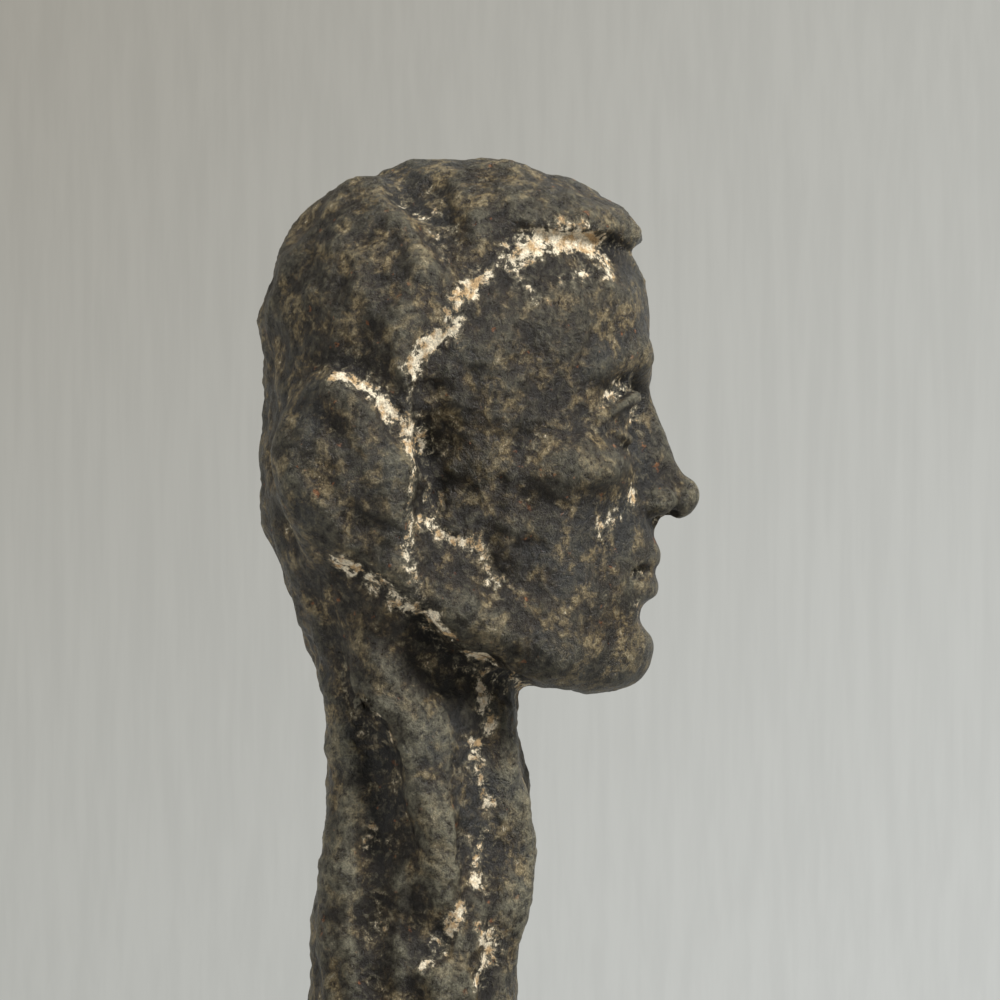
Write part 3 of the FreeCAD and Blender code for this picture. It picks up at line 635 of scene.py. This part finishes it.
def frontField(points):
    # the left front of the coat laps over the right one
    x, y, z = points.T
    edge = x - np.interp(z, (0, overlap["top"]), (overlap["low"], overlap["high"]))
    rise = overlap["rise"] * np.clip(1 + edge / overlap["fade"], 0, 1)
    skin = meetFields(towerField(points, trunkRings) - rise, edge, 0.5)
    return np.maximum(np.maximum(skin, y), z - overlap["top"])


def innerEdge(heights):
    across, stops = np.array(lapelInner).T
    return np.interp(heights, stops, across)


def collarField(points):
    x, y, z = points.T
    low = np.interp(y, (-12, -4, 12), (172, 177, 178))
    inner = innerEdge(z)
    skin = meetFields(towerField(points, trunkRings, collarRise), low - z, 1.0)
    edge = np.where(y < 0, inner + 0.8 - np.abs(x), -9)
    return meetFields(np.maximum(skin, z - 189), edge, 0.8)


def openingField(points):
    # the chest between the lapels lies deeper than the coat, up to the neck's opening
    x, y, z = points.T
    side = np.maximum(np.abs(x) - innerEdge(z), lapelInner[0][1] - z)
    deep = np.maximum(-towerField(points, trunkRings, -1.3), z - 180)
    return np.maximum(np.maximum(side, deep), y)


def collarBalls():
    # fills the collar up to its rim, so that the skin has clay to settle on
    rings = ringsAt(trunkRings, np.arange(178, 188, 1.5))
    for height, halfX, halfY, midY in zip(np.arange(178, 188, 1.5), rings[0], rings[1], rings[3]):
        yield (0, midY, height), (halfX + collarRise, halfY + collarRise, ballSet["high"]), 0


def buttonField(points):
    places = onTower(trunkRings, [(math.degrees(buttonSet["x"] / 20), height)
                                  for height in buttonSet["heights"]], overlap["rise"])
    size = (buttonSet["radius"], buttonSet["thick"], buttonSet["radius"])
    return np.minimum.reduce([ovalField(points, place, size) for place in places])


coatForm = {
    "trunk": tower(trunkRings),
    "opening": shaped(openingField, take=True, soft=0.4),
    "shirtFold": rope([(0, -14.2, 142), (0, -13.4, 156), (0, -11.1, 170), (0, -9.8, 179)],
        (0.5, 0.9, 0.9, 0.6), soft=1),
    "front": shaped(frontField, once=True),
    "lapel": patch(trunkRings, 2.1, [(0.8, 137), (5.6, 150), (12.8, 167), (9.4, 170.4), (10, 174),
        (5.6, 174), (4.8, 165), (3.4, 152)], soft=0.2),
    "collar": shaped(collarField, balls=list(collarBalls()), soft=0.2),
    "neckRoom": tower([(179.8, 10.6, 10.6, 0, 1.4), (188, 10.9, 10.9, 0, 1.4),
        (220, 11.2, 11.2, 0, 1.4)], take=True, soft=0.6),
    "hipFold": ridge(trunkRings, [(38, 76), (42, 50), (44, 24), (46, 1)], 1.62, 3),
    "sideFold": ridge(trunkRings, [(76, 70), (80, 46), (82, 22), (84, 1)], 1.49, 3),
    "backFold": ridge(trunkRings, [(124, 78), (128, 50), (130, 24), (131, 1)], 1.62, 3),
    "tailFold": ridge(trunkRings, [(156, 70), (158, 46), (158, 22), (157, 1)], 1.35, 3),
    "frontValley": crease(trunkRings, [(20, 62), (22, 40), (24, 18), (26, -2)], 1.76, 3),
    "sideValley": crease(trunkRings, [(58, 72), (62, 48), (64, 22), (66, -2)], 1.92, 3),
    "backValley": crease(trunkRings, [(102, 66), (106, 44), (108, 20), (108, -2)], 1.92, 3),
    "tailValley": crease(trunkRings, [(142, 60), (144, 40), (145, 18), (145, -2)], 1.6, 3),
    "vent": crease(trunkRings, [(180, 64), (180, 44), (180, 20), (180, -4)], 1.28, 0.7),
    "backSeam": crease(trunkRings, [(180, 62), (180, 104), (180, 138), (180, 160), (180, 176)],
                       0.56, 0.8),
    "waistFold": crease(trunkRings, [(84, 97), (56, 102), (26, 105)], 1.12, 1.8),
    "waistRoll": ridge(trunkRings, [(80, 92), (58, 96.5), (34, 99)], 0.81, 1.8),
    "waistBack": crease(trunkRings, [(96, 106), (130, 101), (160, 103)], 1.12, 1.8),
    "chestFold": crease(trunkRings, [(64, 152), (50, 138), (32, 127)], 1.28, 1.8),
    "bladeFold": crease(trunkRings, [(112, 156), (128, 142), (142, 130)], 1.12, 1.8),
    "pocketFlap": patch(trunkRings, 1.7, [(7.4, 80.6), (7.8, 87.6), (18.6, 89), (18.8, 82)], soft=0.1),
    "pocketSeam": rope(onTower(trunkRings, [(20, 88.2), (38, 88.9), (57, 89.6)]), (0.35, 0.4, 0.35),
        take=True, soft=0.4),
    "buttons": shaped(buttonField, once=True, soft=0.15),
    "skirtRoom": tower([(-30, 25.4, 19.4, 0, 1.5), (8, 24.4, 18.4, 0, 1.3)], take=True),
}
hemBase = np.array((0, 0, hemZ))


def calmCoat(points):
    # the skin is worked less over the buttons and the front's edges
    local = (points - hemBase) / mm
    x, y, z = local.T
    nearButton = np.clip(1 - (buttonField(local) - 0.5) / 2.5, 0, 1)
    nearFront = np.clip(1.3 - np.abs(x) / 12, 0, 1) * np.clip(-y / 6, 0, 1)
    nearFront = np.maximum(nearFront, np.clip((z - 166) / 5, 0, 1))
    return 1 - np.maximum(0.85 * nearButton, 0.5 * nearFront)


coat = modelClay("coat", coatForm, hemBase, 1.1, 0.64, rounds=9)
workSkin(coat, calmCoat, 0.6)
finishSkin(coat)
print("coat done")

# Left arm, in millimetres from the same point; the right arm is its mirror image.
sleeveRings = [
    (44, 6.8, 8.2, 33.4, -5.2), (74, 7, 8.1, 32.8, -1.6), (104, 7.1, 8.3, 31.2, 2.4),
    (138, 7.7, 9, 29.8, 2), (160, 7.9, 9.2, 26.6, 1.6), (171, 5.6, 6.8, 22.8, 1.8),
    (176, 2.9, 3.6, 19.2, 2)]
armForm = {
    "sleeve": tower(sleeveRings),
    "cuff": tower([(43.8, 7.5, 8.9, 33.4, -5.2), (49, 7.4, 8.8, 33.3, -4.6),
        (55, 7.35, 8.75, 33.2, -3.9)], soft=0.3),
    "cuffRoom": tower([(40, 6, 7.4, 33.4, -5.4), (46.5, 6, 7.4, 33.4, -5.1)], take=True, soft=0.3),
    "elbowFold": crease(sleeveRings, [(-70, 101), (-25, 104), (25, 103.6), (70, 100)], 1.44, 1.6),
    "elbowRoll": ridge(sleeveRings, [(-60, 97), (-20, 99.4), (24, 99), (60, 96)], 1.08, 1.6),
    "elbowLow": crease(sleeveRings, [(-50, 91), (-10, 94.6), (30, 93), (58, 89)], 1.12, 1.6),
    "upperFold": crease(sleeveRings, [(62, 128), (24, 120), (-16, 114), (-44, 111)], 1.12, 1.8),
    "outerFold": crease(sleeveRings, [(120, 120), (86, 112), (54, 108)], 1.12, 1.8),
    "backFold": crease(sleeveRings, [(110, 118), (150, 111), (190, 106)], 1.12, 1.8),
    "foreFold": crease(sleeveRings, [(70, 78), (20, 69), (-30, 62)], 0.96, 1.8),
    "wristFold": crease(sleeveRings, [(120, 70), (160, 63), (200, 60)], 0.8, 1.8),
    "shoulderSeam": crease(sleeveRings, [(-60, 158), (-20, 166), (60, 170), (130, 167),
                                         (170, 160)], 0.72, 0.8),
    "wrist": oval((33.3, -5.8, 44), (4, 5.2, 6)),
    "palm": oval((33.2, -6.6, 37.2), (3.5, 5.9, 7.6), soft=1.4),
    "knuckles": rope([(33.9, -10.6, 33.4), (33.9, -3.2, 33)], (2.1, 1.9), soft=1.2),
    "indexFinger": rope([(33.8, -10.9, 33), (34, -11.3, 27.6), (33, -11.1, 23.8)], (1.65, 1.5, 1.3),
        soft=0.35),
    "middleFinger": rope([(33.9, -8.2, 33), (34.2, -8.5, 27), (33.1, -8.3, 22.6)], (1.7, 1.55, 1.35),
        soft=0.35),
    "ringFinger": rope([(33.8, -5.5, 33), (34, -5.6, 27.4), (32.9, -5.5, 23.4)], (1.65, 1.5, 1.3),
        soft=0.35),
    "littleFinger": rope([(33.4, -3, 33.4), (33.6, -2.9, 28.6), (32.7, -2.9, 25.4)], (1.45, 1.3, 1.15),
        soft=0.35),
    "thumb": rope([(32.6, -9.6, 41), (31.2, -11.6, 36.4), (30.8, -11.9, 31.8)], (1.9, 1.75, 1.4),
        soft=0.7),
}


def calmHand(points):
    return np.clip(((points[:, 2] - hemZ) / mm - 38) / 8, 0.25, 1)


def oneSided(form):
    return {name: {**lump, "once": True} for name, lump in form.items()}


def flipPiece(piece):
    piece.data.transform(Matrix.Diagonal((-1, 1, 1, 1)))
    piece.data.flip_normals()


def makeArms():
    left = modelClay("left_arm", oneSided(armForm), hemBase, 0.8, 0.4)
    right = copyPiece(left, "right_arm")
    flipPiece(right)
    for arm in (left, right):
        workSkin(arm, calmHand, 0.65)
        finishSkin(arm)
    return left, right


leftArm, rightArm = makeArms()
print("arms done")

# Legs, in millimetres on each leg's own axis from the sole up.
trouserRings = [
    (5, 8, 9.6, 0, 0.9), (13, 8.4, 10, 0, 0.4), (32, 7.8, 9.1, 0, 0.9),
    (58, 8, 9.2, 0, -0.4), (80, 8.6, 10, 0, 0)]
laceRows = [((-2.6, -10.4, 9.9), (2.6, -11.2, 9.6)), ((-2.6, -12.6, 9.3), (2.6, -13.2, 9.0))]


def laceField(points):
    return np.minimum.reduce([ropeField(points, row, (0.55, 0.55)) for row in laceRows])


legForm = {
    "trouser": tower(trouserRings),
    "shoeUpper": oval((0, -6, 0), (7.1, 19.9, 11), soft=0.5),
    "shoeToe": oval((0, -18.6, 2.6), (6.2, 6.6, 4.2), soft=2),
    "frontCrease": ridge(trouserRings, [(0, 10), (0, 32), (0, 58), (0, 80)], 0.68, 1.4),
    "rearCrease": ridge(trouserRings, [(180, 10), (180, 32), (180, 58), (180, 80)], 0.68, 1.4),
    "breakFold": crease(trouserRings, [(-84, 16), (-30, 13), (24, 12.4), (80, 17)], 1.28, 1.6),
    "breakRoll": ridge(trouserRings, [(-70, 10), (-20, 8.8), (30, 8.6), (76, 12)], 1.22, 1.6),
    "ankleFold": crease(trouserRings, [(110, 12), (150, 16), (200, 14)], 0.96, 1.6),
    "kneeFold": crease(trouserRings, [(-110, 60), (-160, 57), (-200, 59)], 1.12, 1.8),
    "kneeLow": crease(trouserRings, [(120, 54), (165, 50), (205, 52)], 1.12, 1.8),
    "shinFold": crease(trouserRings, [(-70, 40), (-30, 34), (10, 30)], 0.8, 1.8),
    "toeCap": rope([(-7.6, -13.5, 1), (-5, -15.4, 6.4), (0, -16.2, 8.6), (5, -15.4, 6.4),
        (7.6, -13.5, 1)], (0.35,) * 5, take=True, soft=0.5),
    "laces": shaped(laceField, soft=0.2),
    "sole": tower([(0, 7.45, 20.3, 0, -6), (2.2, 7.55, 20.45, 0, -6)], soft=0.1),
    "heelStep": slab((0, -2.5, 0), (9, 4.6, 0.9), 1, take=True, soft=0.2),
    "ground": shaped(lambda points: points[:, 2], take=True),
}
legSet = {"spacing": 25.0, "toeOut": 8.0}


def calmShoe(points):
    return np.clip(((points[:, 2] - soleZ) / mm - 1) / 8, 0.0, 1)


def makeLegs():
    upright = modelClay("leg", oneSided(legForm), np.zeros(3), 0.8, 0.4)
    legs = []
    for name, side in (("left_leg", 1), ("right_leg", -1)):
        leg = copyPiece(upright, name)
        if side < 0:
            flipPiece(leg)
        place = Matrix.Translation((side * legSet["spacing"] / 2 * mm, 0, soleZ))
        leg.data.transform(place @ Matrix.Rotation(math.radians(side * legSet["toeOut"]), 4, "Z"))
        workSkin(leg, calmShoe, 0.6)
        finishSkin(leg)
        legs.append(leg)
    bpy.data.objects.remove(upright)
    return legs


leftLeg, rightLeg = makeLegs()
print("legs done")

# Ground plate, in millimetres from the middle of its underside.
groundForm = {
    "plate": slab((0, 0, 2.9), (32.7, 30.7, 2.9), 16.0, once=True),
}
groundBase = np.array((0, 0, groundBox[0].z))


def calmGround(points):
    return np.clip(1 - (points[:, 2] - groundBox[0].z) / mm / 9, 0.35, 0.8)


ground = modelClay("ground", groundForm, groundBase, 1.0, 0.5)
workSkin(ground, calmGround)
finishSkin(ground)
print("ground done")

# Pins and the crown's plug: their ends are filed to the modelled skin and peened.
pegSet = {"long": 4.0 * mm, "proud": 0.12 * mm, "bevel": 0.35 * mm}


def makePeg(spot, normal, radius):
    turn = Vector(normal).to_track_quat("Z", "Y")
    middle = Vector(spot) + Vector(normal) * (pegSet["proud"] - pegSet["long"] / 2)
    bpy.ops.mesh.primitive_cylinder_add(vertices=48, radius=radius, depth=pegSet["long"],
                                        location=middle, rotation=turn.to_euler())
    peg = bpy.context.object
    bpy.ops.object.transform_apply(location=True, rotation=True, scale=True)
    applyModifier(peg, "BEVEL", width=pegSet["bevel"], segments=3, limit_method="ANGLE")
    bpy.ops.object.shade_smooth_by_angle(angle=math.radians(40))
    return peg


def skinPlane(skin, start, down, radius):
    # the middle and slope of the skin under a ring about a line
    side = down.orthogonal().normalized() * radius
    spots = [skin.ray_cast(start + Matrix.Rotation(turn * math.pi / 4, 3, down) @ side, down)[1]
             for turn in range(8)]
    middle = sum(spots, Vector()) / len(spots)
    normal = sum(((a - middle).cross(b - middle) for a, b in zip(spots, spots[1:] + spots[:1])),
                 Vector()).normalized()
    return middle, normal if normal.dot(down) < 0 else -normal


def joinPieces(pieces, name):
    deselectAll()
    for piece in pieces:
        piece.select_set(True)
    bpy.context.view_layer.objects.active = pieces[0]
    if len(pieces) > 1:
        bpy.ops.object.join()
    joined = bpy.context.object
    joined.name = joined.data.name = name
    return joined


def makePins(name, node, skin, ends):
    low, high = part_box(node)
    radius = (high.z - low.z) / 2
    across = (low.x + radius, high.x - radius)[:ends]
    pegs = []
    for x in across:
        start = Vector((x, high.y + 20 * mm, (low.z + high.z) / 2))
        pegs.append(makePeg(*skinPlane(skin, start, Vector((0, -1, 0)), radius), radius))
    return joinPieces(pegs, name)


def makePlug():
    low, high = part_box("crown_plug")
    start = (low + high) / 2 + Vector((0, 0, 30 * mm))
    radius = (high.x - low.x) / 2
    plane = skinPlane(figureHead, start, Vector((0, 0, -1)), radius)
    return joinPieces([makePeg(*plane, radius)], "plug_end")


bronzePieces = {
    makePlug(): "crown_plug",
    makePins("head_pin_end", "head_pin", figureHead, 1): "head_pin",
    makePins("neck_pin_end", "neck_pin", coat, 1): "neck_pin",
    makePins("arm_pin_ends", "arm_pins", coat, 2): "arm_pins",
    makePins("hip_pin_ends", "hip_pins", coat, 2): "hip_pins",
    figureHead: "head_casting",
    figureNeck: "neck_casting",
    coat: "coat_casting",
    leftArm: "left_arm_casting",
    rightArm: "right_arm_casting",
    leftLeg: "left_leg_casting",
    rightLeg: "right_leg_casting",
    ground: "ground_plate",
}
for piece, node in bronzePieces.items():
    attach(piece, "root")
    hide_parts(node)


# Materials. Textures are measured in millimetres of the object's own space.
def addNode(tree, kind, inputs=None, **settings):
    node = tree.nodes.new(kind)
    for name, value in settings.items():
        setattr(node, name, value)
    for name, value in (inputs or {}).items():
        if isinstance(value, bpy.types.NodeSocket):
            tree.links.new(value, node.inputs[name])
        else:
            node.inputs[name].default_value = value
    return node


def addNoise(tree, spot, scale, detail=4.0, rough=0.6, stretch=0.0):
    return addNode(tree, "ShaderNodeTexNoise", {
        "Vector": spot, "Scale": scale, "Detail": detail, "Roughness": rough,
        "Distortion": stretch}).outputs["Fac"]


def addStep(tree, value, low, high, least=0.0, most=1.0):
    return addNode(tree, "ShaderNodeMapRange", {
        "Value": value, "From Min": low, "From Max": high, "To Min": least, "To Max": most},
        interpolation_type="SMOOTHSTEP").outputs["Result"]


def addMath(tree, operation, *values):
    node = addNode(tree, "ShaderNodeMath", dict(enumerate(values)), operation=operation)
    return node.outputs[0]


def addProduct(tree, first, second):
    return addMath(tree, "MULTIPLY", first, second)


def addSum(tree, total, *others):
    for value in others:
        total = addMath(tree, "ADD", total, value)
    return total


def addMix(tree, amount, first, second):
    return addNode(tree, "ShaderNodeMix", {0: amount, 6: first, 7: second},
                   data_type="RGBA").outputs[2]


def addScale(tree, vector, amount):
    return addNode(tree, "ShaderNodeVectorMath", {0: vector, "Scale": amount},
                   operation="SCALE").outputs[0]


def addStretch(tree, vector, amounts):
    return addNode(tree, "ShaderNodeVectorMath", {0: vector, 1: amounts},
                   operation="MULTIPLY").outputs[0]


def addBump(tree, height, distance, strength):
    return addNode(tree, "ShaderNodeBump", {
        "Height": height, "Distance": distance, "Strength": strength}).outputs["Normal"]


def addSpot(tree):
    return addScale(tree, addNode(tree, "ShaderNodeTexCoord").outputs["Object"], 1 / mm)


def addBlend(tree, share, first, second):
    return addNode(tree, "ShaderNodeMixShader", {
        0: share, 1: first.outputs[0], 2: second.outputs[0]}).outputs[0]


def wire(tree, node, sockets):
    for name, socket in sockets.items():
        tree.links.new(socket, node.inputs[name])


def readMask(tree, name):
    return addNode(tree, "ShaderNodeAttribute", attribute_name=name).outputs["Fac"]


def fromScreen(red, green, blue):
    # a colour as a screen shows it, 0 to 255, turned into the light that it stands for
    parts = [part / 255 for part in (red, green, blue)]
    return tuple(part / 12.92 if part <= 0.04045 else ((part + 0.055) / 1.055) ** 2.4
                 for part in parts) + (1.0,)


def fromScreens(**colours):
    return {name: fromScreen(*colour) for name, colour in colours.items()}


# the darkest colour is painted shade, laid into hollows and creases
bronzeColours = fromScreens(
    black=(15, 13, 11), umber=(27, 23, 18), brown=(48, 41, 32), grey=(82, 77, 62),
    pewter=(112, 108, 90), blue=(50, 53, 54), ochre=(138, 118, 78), rust=(138, 84, 44),
    dust=(126, 119, 99), cream=(216, 204, 178), tan=(174, 146, 106))
stoneColours = fromScreens(
    dark=(34, 34, 36), light=(52, 51, 52), fleck=(84, 83, 84), vein=(170, 166, 160))
# the wall's tones are painted light falling across it: darker at the upper left, paler at the lower
# right
wallColours = fromScreens(
    left=(156, 152, 142), right=(184, 184, 178), lowLeft=(180, 181, 176),
    lowRight=(203, 205, 202))


def makePatina():
    tree = bpy.data.node_groups.new("patina", "ShaderNodeTree")
    for name, kind in (("Colour", "NodeSocketColor"), ("Roughness", "NodeSocketFloat"),
                       ("Metal", "NodeSocketFloat"), ("Normal", "NodeSocketVector")):
        tree.interface.new_socket(name, in_out="OUTPUT", socket_type=kind)
    spot = addSpot(tree)
    hollow, ridges, crust = [readMask(tree, name) for name in ("hollow", "ridge", "crust")]
    broad = addNoise(tree, spot, 0.11, 3.0, 0.55)
    blotch = addNoise(tree, spot, 0.42, 7.0, 0.66, 0.4)
    mottle = addNoise(tree, spot, 1.5, 7.0, 0.7, 0.3)
    spots = addNoise(tree, spot, 0.95, 5.0, 0.6)
    grain = addNoise(tree, spot, 5.5, 3.0, 0.7)
    olive = addProduct(tree, addStep(tree, blotch, 0.47, 0.63), addStep(tree, mottle, 0.4, 0.62))
    # ridges turn pewter: partly rubbed wear, partly painted light on raised forms
    rubbed_and_lit = addProduct(tree, ridges, addStep(tree, mottle, 0.36, 0.6, 0.1, 0.75))
    dusty = addProduct(tree, hollow, addStep(tree, mottle, 0.5, 0.66, 0.0, 0.5))
    # pale residue lies over the crust and in hollows, with a ragged edge
    ragged = addSum(tree, *[addStep(tree, noise, 0.3, 0.7, -0.4, 0.4) for noise in (mottle, blotch)])
    laid = addSum(tree, addProduct(tree, crust, 0.8), addProduct(tree, hollow, 0.44), ragged)
    flakes = addStep(tree, laid, 0.62, 0.76)
    colours = bronzeColours
    tone = addMix(tree, addStep(tree, blotch, 0.38, 0.62), colours["umber"], colours["brown"])
    for name, amount in (
            ("blue", addStep(tree, broad, 0.5, 0.66, 0.0, 0.4)),
            ("grey", addStep(tree, mottle, 0.48, 0.64, 0.0, 0.5)),
            ("ochre", addProduct(tree, olive, 0.75)),
            ("rust", addStep(tree, spots, 0.66, 0.71, 0.0, 0.55)),
            # painted light and rubbed wear on the ridges
            ("pewter", rubbed_and_lit),
            # painted shade: hollows and creases darkened almost to black, where shadow falls
            ("black", addProduct(tree, hollow, 0.95)),
            ("dust", dusty),
            ("dust", addStep(tree, laid, 0.3, 0.72, 0.0, 0.6))):
        tone = addMix(tree, amount, tone, colours[name])
    pale = addMix(tree, addStep(tree, spots, 0.42, 0.62), colours["cream"], colours["tan"])
    tone = addMix(tree, flakes, tone, pale)
    tone = addScale(tree, tone, addStep(tree, grain, 0.3, 0.7, 0.62, 1.35))
    rough = addSum(tree, addStep(tree, mottle, 0.35, 0.65, 0.26, 0.5),
                   addProduct(tree, flakes, 0.35), addProduct(tree, hollow, 0.15))
    height = addSum(tree, addProduct(tree, grain, 0.09), addProduct(tree, mottle, 0.42),
                    addProduct(tree, flakes, 0.1))
    wire(tree, tree.nodes.new("NodeGroupOutput"), {
        "Colour": tone, "Roughness": rough, "Metal": addStep(tree, flakes, 0.0, 1.0, 0.2, 0.0),
        "Normal": addBump(tree, height, mm, 0.9)})
    return tree


def newMaterial(name, **constants):
    material = bpy.data.materials.new(name)
    material.use_nodes = True
    shader = material.node_tree.nodes["Principled BSDF"]
    for key, value in constants.items():
        shader.inputs[key.replace("_", " ")].default_value = value
    return material, material.node_tree, shader


def makeBronze(patina):
    material, tree, shader = newMaterial("patinated_bronze", Specular_IOR_Level=0.32)
    group = addNode(tree, "ShaderNodeGroup", node_tree=patina)
    for name, socket in (("Colour", "Base Color"), ("Roughness", "Roughness"),
                         ("Metal", "Metallic"), ("Normal", "Normal")):
        tree.links.new(group.outputs[name], shader.inputs[socket])
    return material


def makeStone():
    # honed dark stone with faint pale veins and fine crystals
    material, tree, shader = newMaterial("honed_stone", Specular_IOR_Level=0.5)
    spot = addSpot(tree)
    cloud = addNoise(tree, spot, 0.05, 6.0, 0.62, 0.8)
    crystal = addNoise(tree, spot, 1.7, 4.0, 0.7)
    veins = addNoise(tree, spot, 0.035, 9.0, 0.6, 1.6)
    line = addStep(tree, addMath(tree, "ABSOLUTE", addMath(tree, "SUBTRACT", veins, 0.5)),
                   0.004, 0.0, 0.0, 0.34)
    tone = addMix(tree, addStep(tree, cloud, 0.35, 0.65), stoneColours["dark"],
                  stoneColours["light"])
    tone = addMix(tree, addStep(tree, crystal, 0.6, 0.72, 0.0, 0.5), tone, stoneColours["fleck"])
    tone = addMix(tree, line, tone, stoneColours["vein"])
    wire(tree, shader, {
        "Base Color": tone, "Roughness": addStep(tree, crystal, 0.3, 0.7, 0.24, 0.38),
        "Normal": addBump(tree, crystal, 0.05 * mm, 0.35)})
    return material


def makeMetal(name, tone, rough, stretch):
    # brushed metal: scratches drawn out along one axis, and a thin tarnish in clouds
    material, tree, shader = newMaterial(name, Metallic=1.0)
    spot = addSpot(tree)
    lines = addNoise(tree, addStretch(tree, spot, stretch), 6.0, 4.0, 0.7)
    cloud = addNoise(tree, spot, 0.14, 5.0, 0.6)
    dull = tuple(part * 0.62 for part in tone[:3]) + (1.0,)
    colour = addMix(tree, addStep(tree, cloud, 0.42, 0.68, 0.0, 0.7), tone, dull)
    roughness = addSum(tree, addStep(tree, lines, 0.3, 0.7, -0.05, 0.07),
                       addStep(tree, cloud, 0.4, 0.7, rough, rough + 0.14))
    wire(tree, shader, {"Base Color": colour, "Roughness": roughness,
                        "Normal": addBump(tree, lines, 0.02 * mm, 0.5)})
    return material


def makeFelt():
    material, tree, shader = newMaterial("green_felt", Sheen_Weight=0.5, Roughness=0.95)
    fibre = addNoise(tree, addSpot(tree), 3.2, 6.0, 0.75, 1.2)
    tone = addMix(tree, fibre, fromScreen(24, 44, 34), fromScreen(52, 82, 64))
    wire(tree, shader, {"Base Color": tone, "Normal": addBump(tree, fibre, 0.25 * mm, 0.8)})
    return material


bronze = makeBronze(makePatina())
brass = makeMetal("brushed_brass", fromScreen(206, 170, 104), 0.3, (0.05, 1, 1))
tackBrass = makeMetal("turned_brass", fromScreen(214, 180, 112), 0.22, (1, 1, 1))
steel = makeMetal("zinced_steel", fromScreen(186, 188, 190), 0.32, (1, 1, 1))
nodeMaterials = {
    "plinth": makeStone(),
    "name_plate": brass,
    "name_tacks": tackBrass,
    "base_felt": makeFelt(),
    "mounting_studs": steel,
    "flat_washers": steel,
    "lock_washers": steel,
    "hex_nuts": steel,
}
for piece in bronzePieces:
    piece.data.materials.clear()
    piece.data.materials.append(bronze)
for name, material in nodeMaterials.items():
    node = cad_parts[name]
    node.data.materials.clear()
    node.data.materials.append(material)
print("materials done")


# A pale studio: two lamps, faint light all round, and a wall and paper floor whose own glow
# only the camera and reflections see.
floorSet = {"radius": 2.4, "tone": (0.72, 0.71, 0.69, 1), "glow": 0.7}
roomLight = {"colour": (0.9, 0.94, 1.0, 1), "strength": 0.12}
headAim = (0, 0, chinZ + 20 * mm)
lampSet = {
    "key": {"place": (-0.3, -0.45, 0.9), "energy": 12.0, "size": 0.22},
    "window": {"place": (-0.35, 0.85, 0.6), "energy": 5.0, "size": 0.35},
}


def raySeen(tree):
    path = addNode(tree, "ShaderNodeLightPath")
    return addMath(tree, "MAXIMUM", path.outputs["Is Camera Ray"],
                   addMath(tree, "MAXIMUM", path.outputs["Is Glossy Ray"],
                           path.outputs["Is Transmission Ray"]))


def makeFloor():
    bpy.ops.mesh.primitive_circle_add(vertices=96, radius=floorSet["radius"],
                                      fill_type="NGON", location=(0, 0, 0))
    floor = bpy.context.object
    floor.name = "floor"
    material, tree, shader = newMaterial("floor_paper", Base_Color=floorSet["tone"],
                                         Roughness=0.9)
    paper = addNode(tree, "ShaderNodeEmission", {"Color": wallColours["lowLeft"]})
    share = addProduct(tree, raySeen(tree), floorSet["glow"])
    wire(tree, tree.nodes["Material Output"], {"Surface": addBlend(tree, share, shader, paper)})
    floor.data.materials.append(material)


def addLamp(name, place, energy, size):
    bpy.ops.object.light_add(type="AREA", location=place)
    lamp = bpy.context.object
    lamp.name = name
    lamp.data.energy = energy
    lamp.data.size = size
    lamp.rotation_euler = (Vector(headAim) - lamp.location).to_track_quat("-Z", "Y").to_euler()


def makeRoom():
    world = bpy.data.worlds.new("room")
    world.use_nodes = True
    tree = world.node_tree
    light = tree.nodes["Background"]
    light.inputs["Color"].default_value = roomLight["colour"]
    light.inputs["Strength"].default_value = roomLight["strength"]
    away = addNode(tree, "ShaderNodeTexCoord").outputs["Generated"]
    # the wall's own glow is painted darker towards the upper left and lighter towards the lower right,
    # as light falls across the wall
    split = addNode(tree, "ShaderNodeSeparateXYZ", {0: away})
    across = addStep(tree, split.outputs["Y"], 0.2, -0.2)
    down = addStep(tree, split.outputs["Z"], 0.2, -0.2)
    upper = addMix(tree, across, wallColours["left"], wallColours["right"])
    lower = addMix(tree, across, wallColours["lowLeft"], wallColours["lowRight"])
    # faint upright streaks, as on a painted wall
    drawn = addStretch(tree, away, (1.0, 1.0, 0.06))
    streaks = addStep(tree, addNoise(tree, drawn, 260.0, 4.0, 0.6), 0.3, 0.7, 0.975, 1.025)
    wall = addScale(tree, addMix(tree, down, upper, lower), streaks)
    backdrop = addNode(tree, "ShaderNodeBackground", {"Color": wall, "Strength": 1.0})
    wire(tree, tree.nodes["World Output"],
         {"Surface": addBlend(tree, raySeen(tree), light, backdrop)})
    bpy.context.scene.world = world


makeCamera()
makeFloor()
for name, lamp in lampSet.items():
    addLamp(name, **lamp)
makeRoom()
bpy.context.scene.view_settings.view_transform = "Standard"
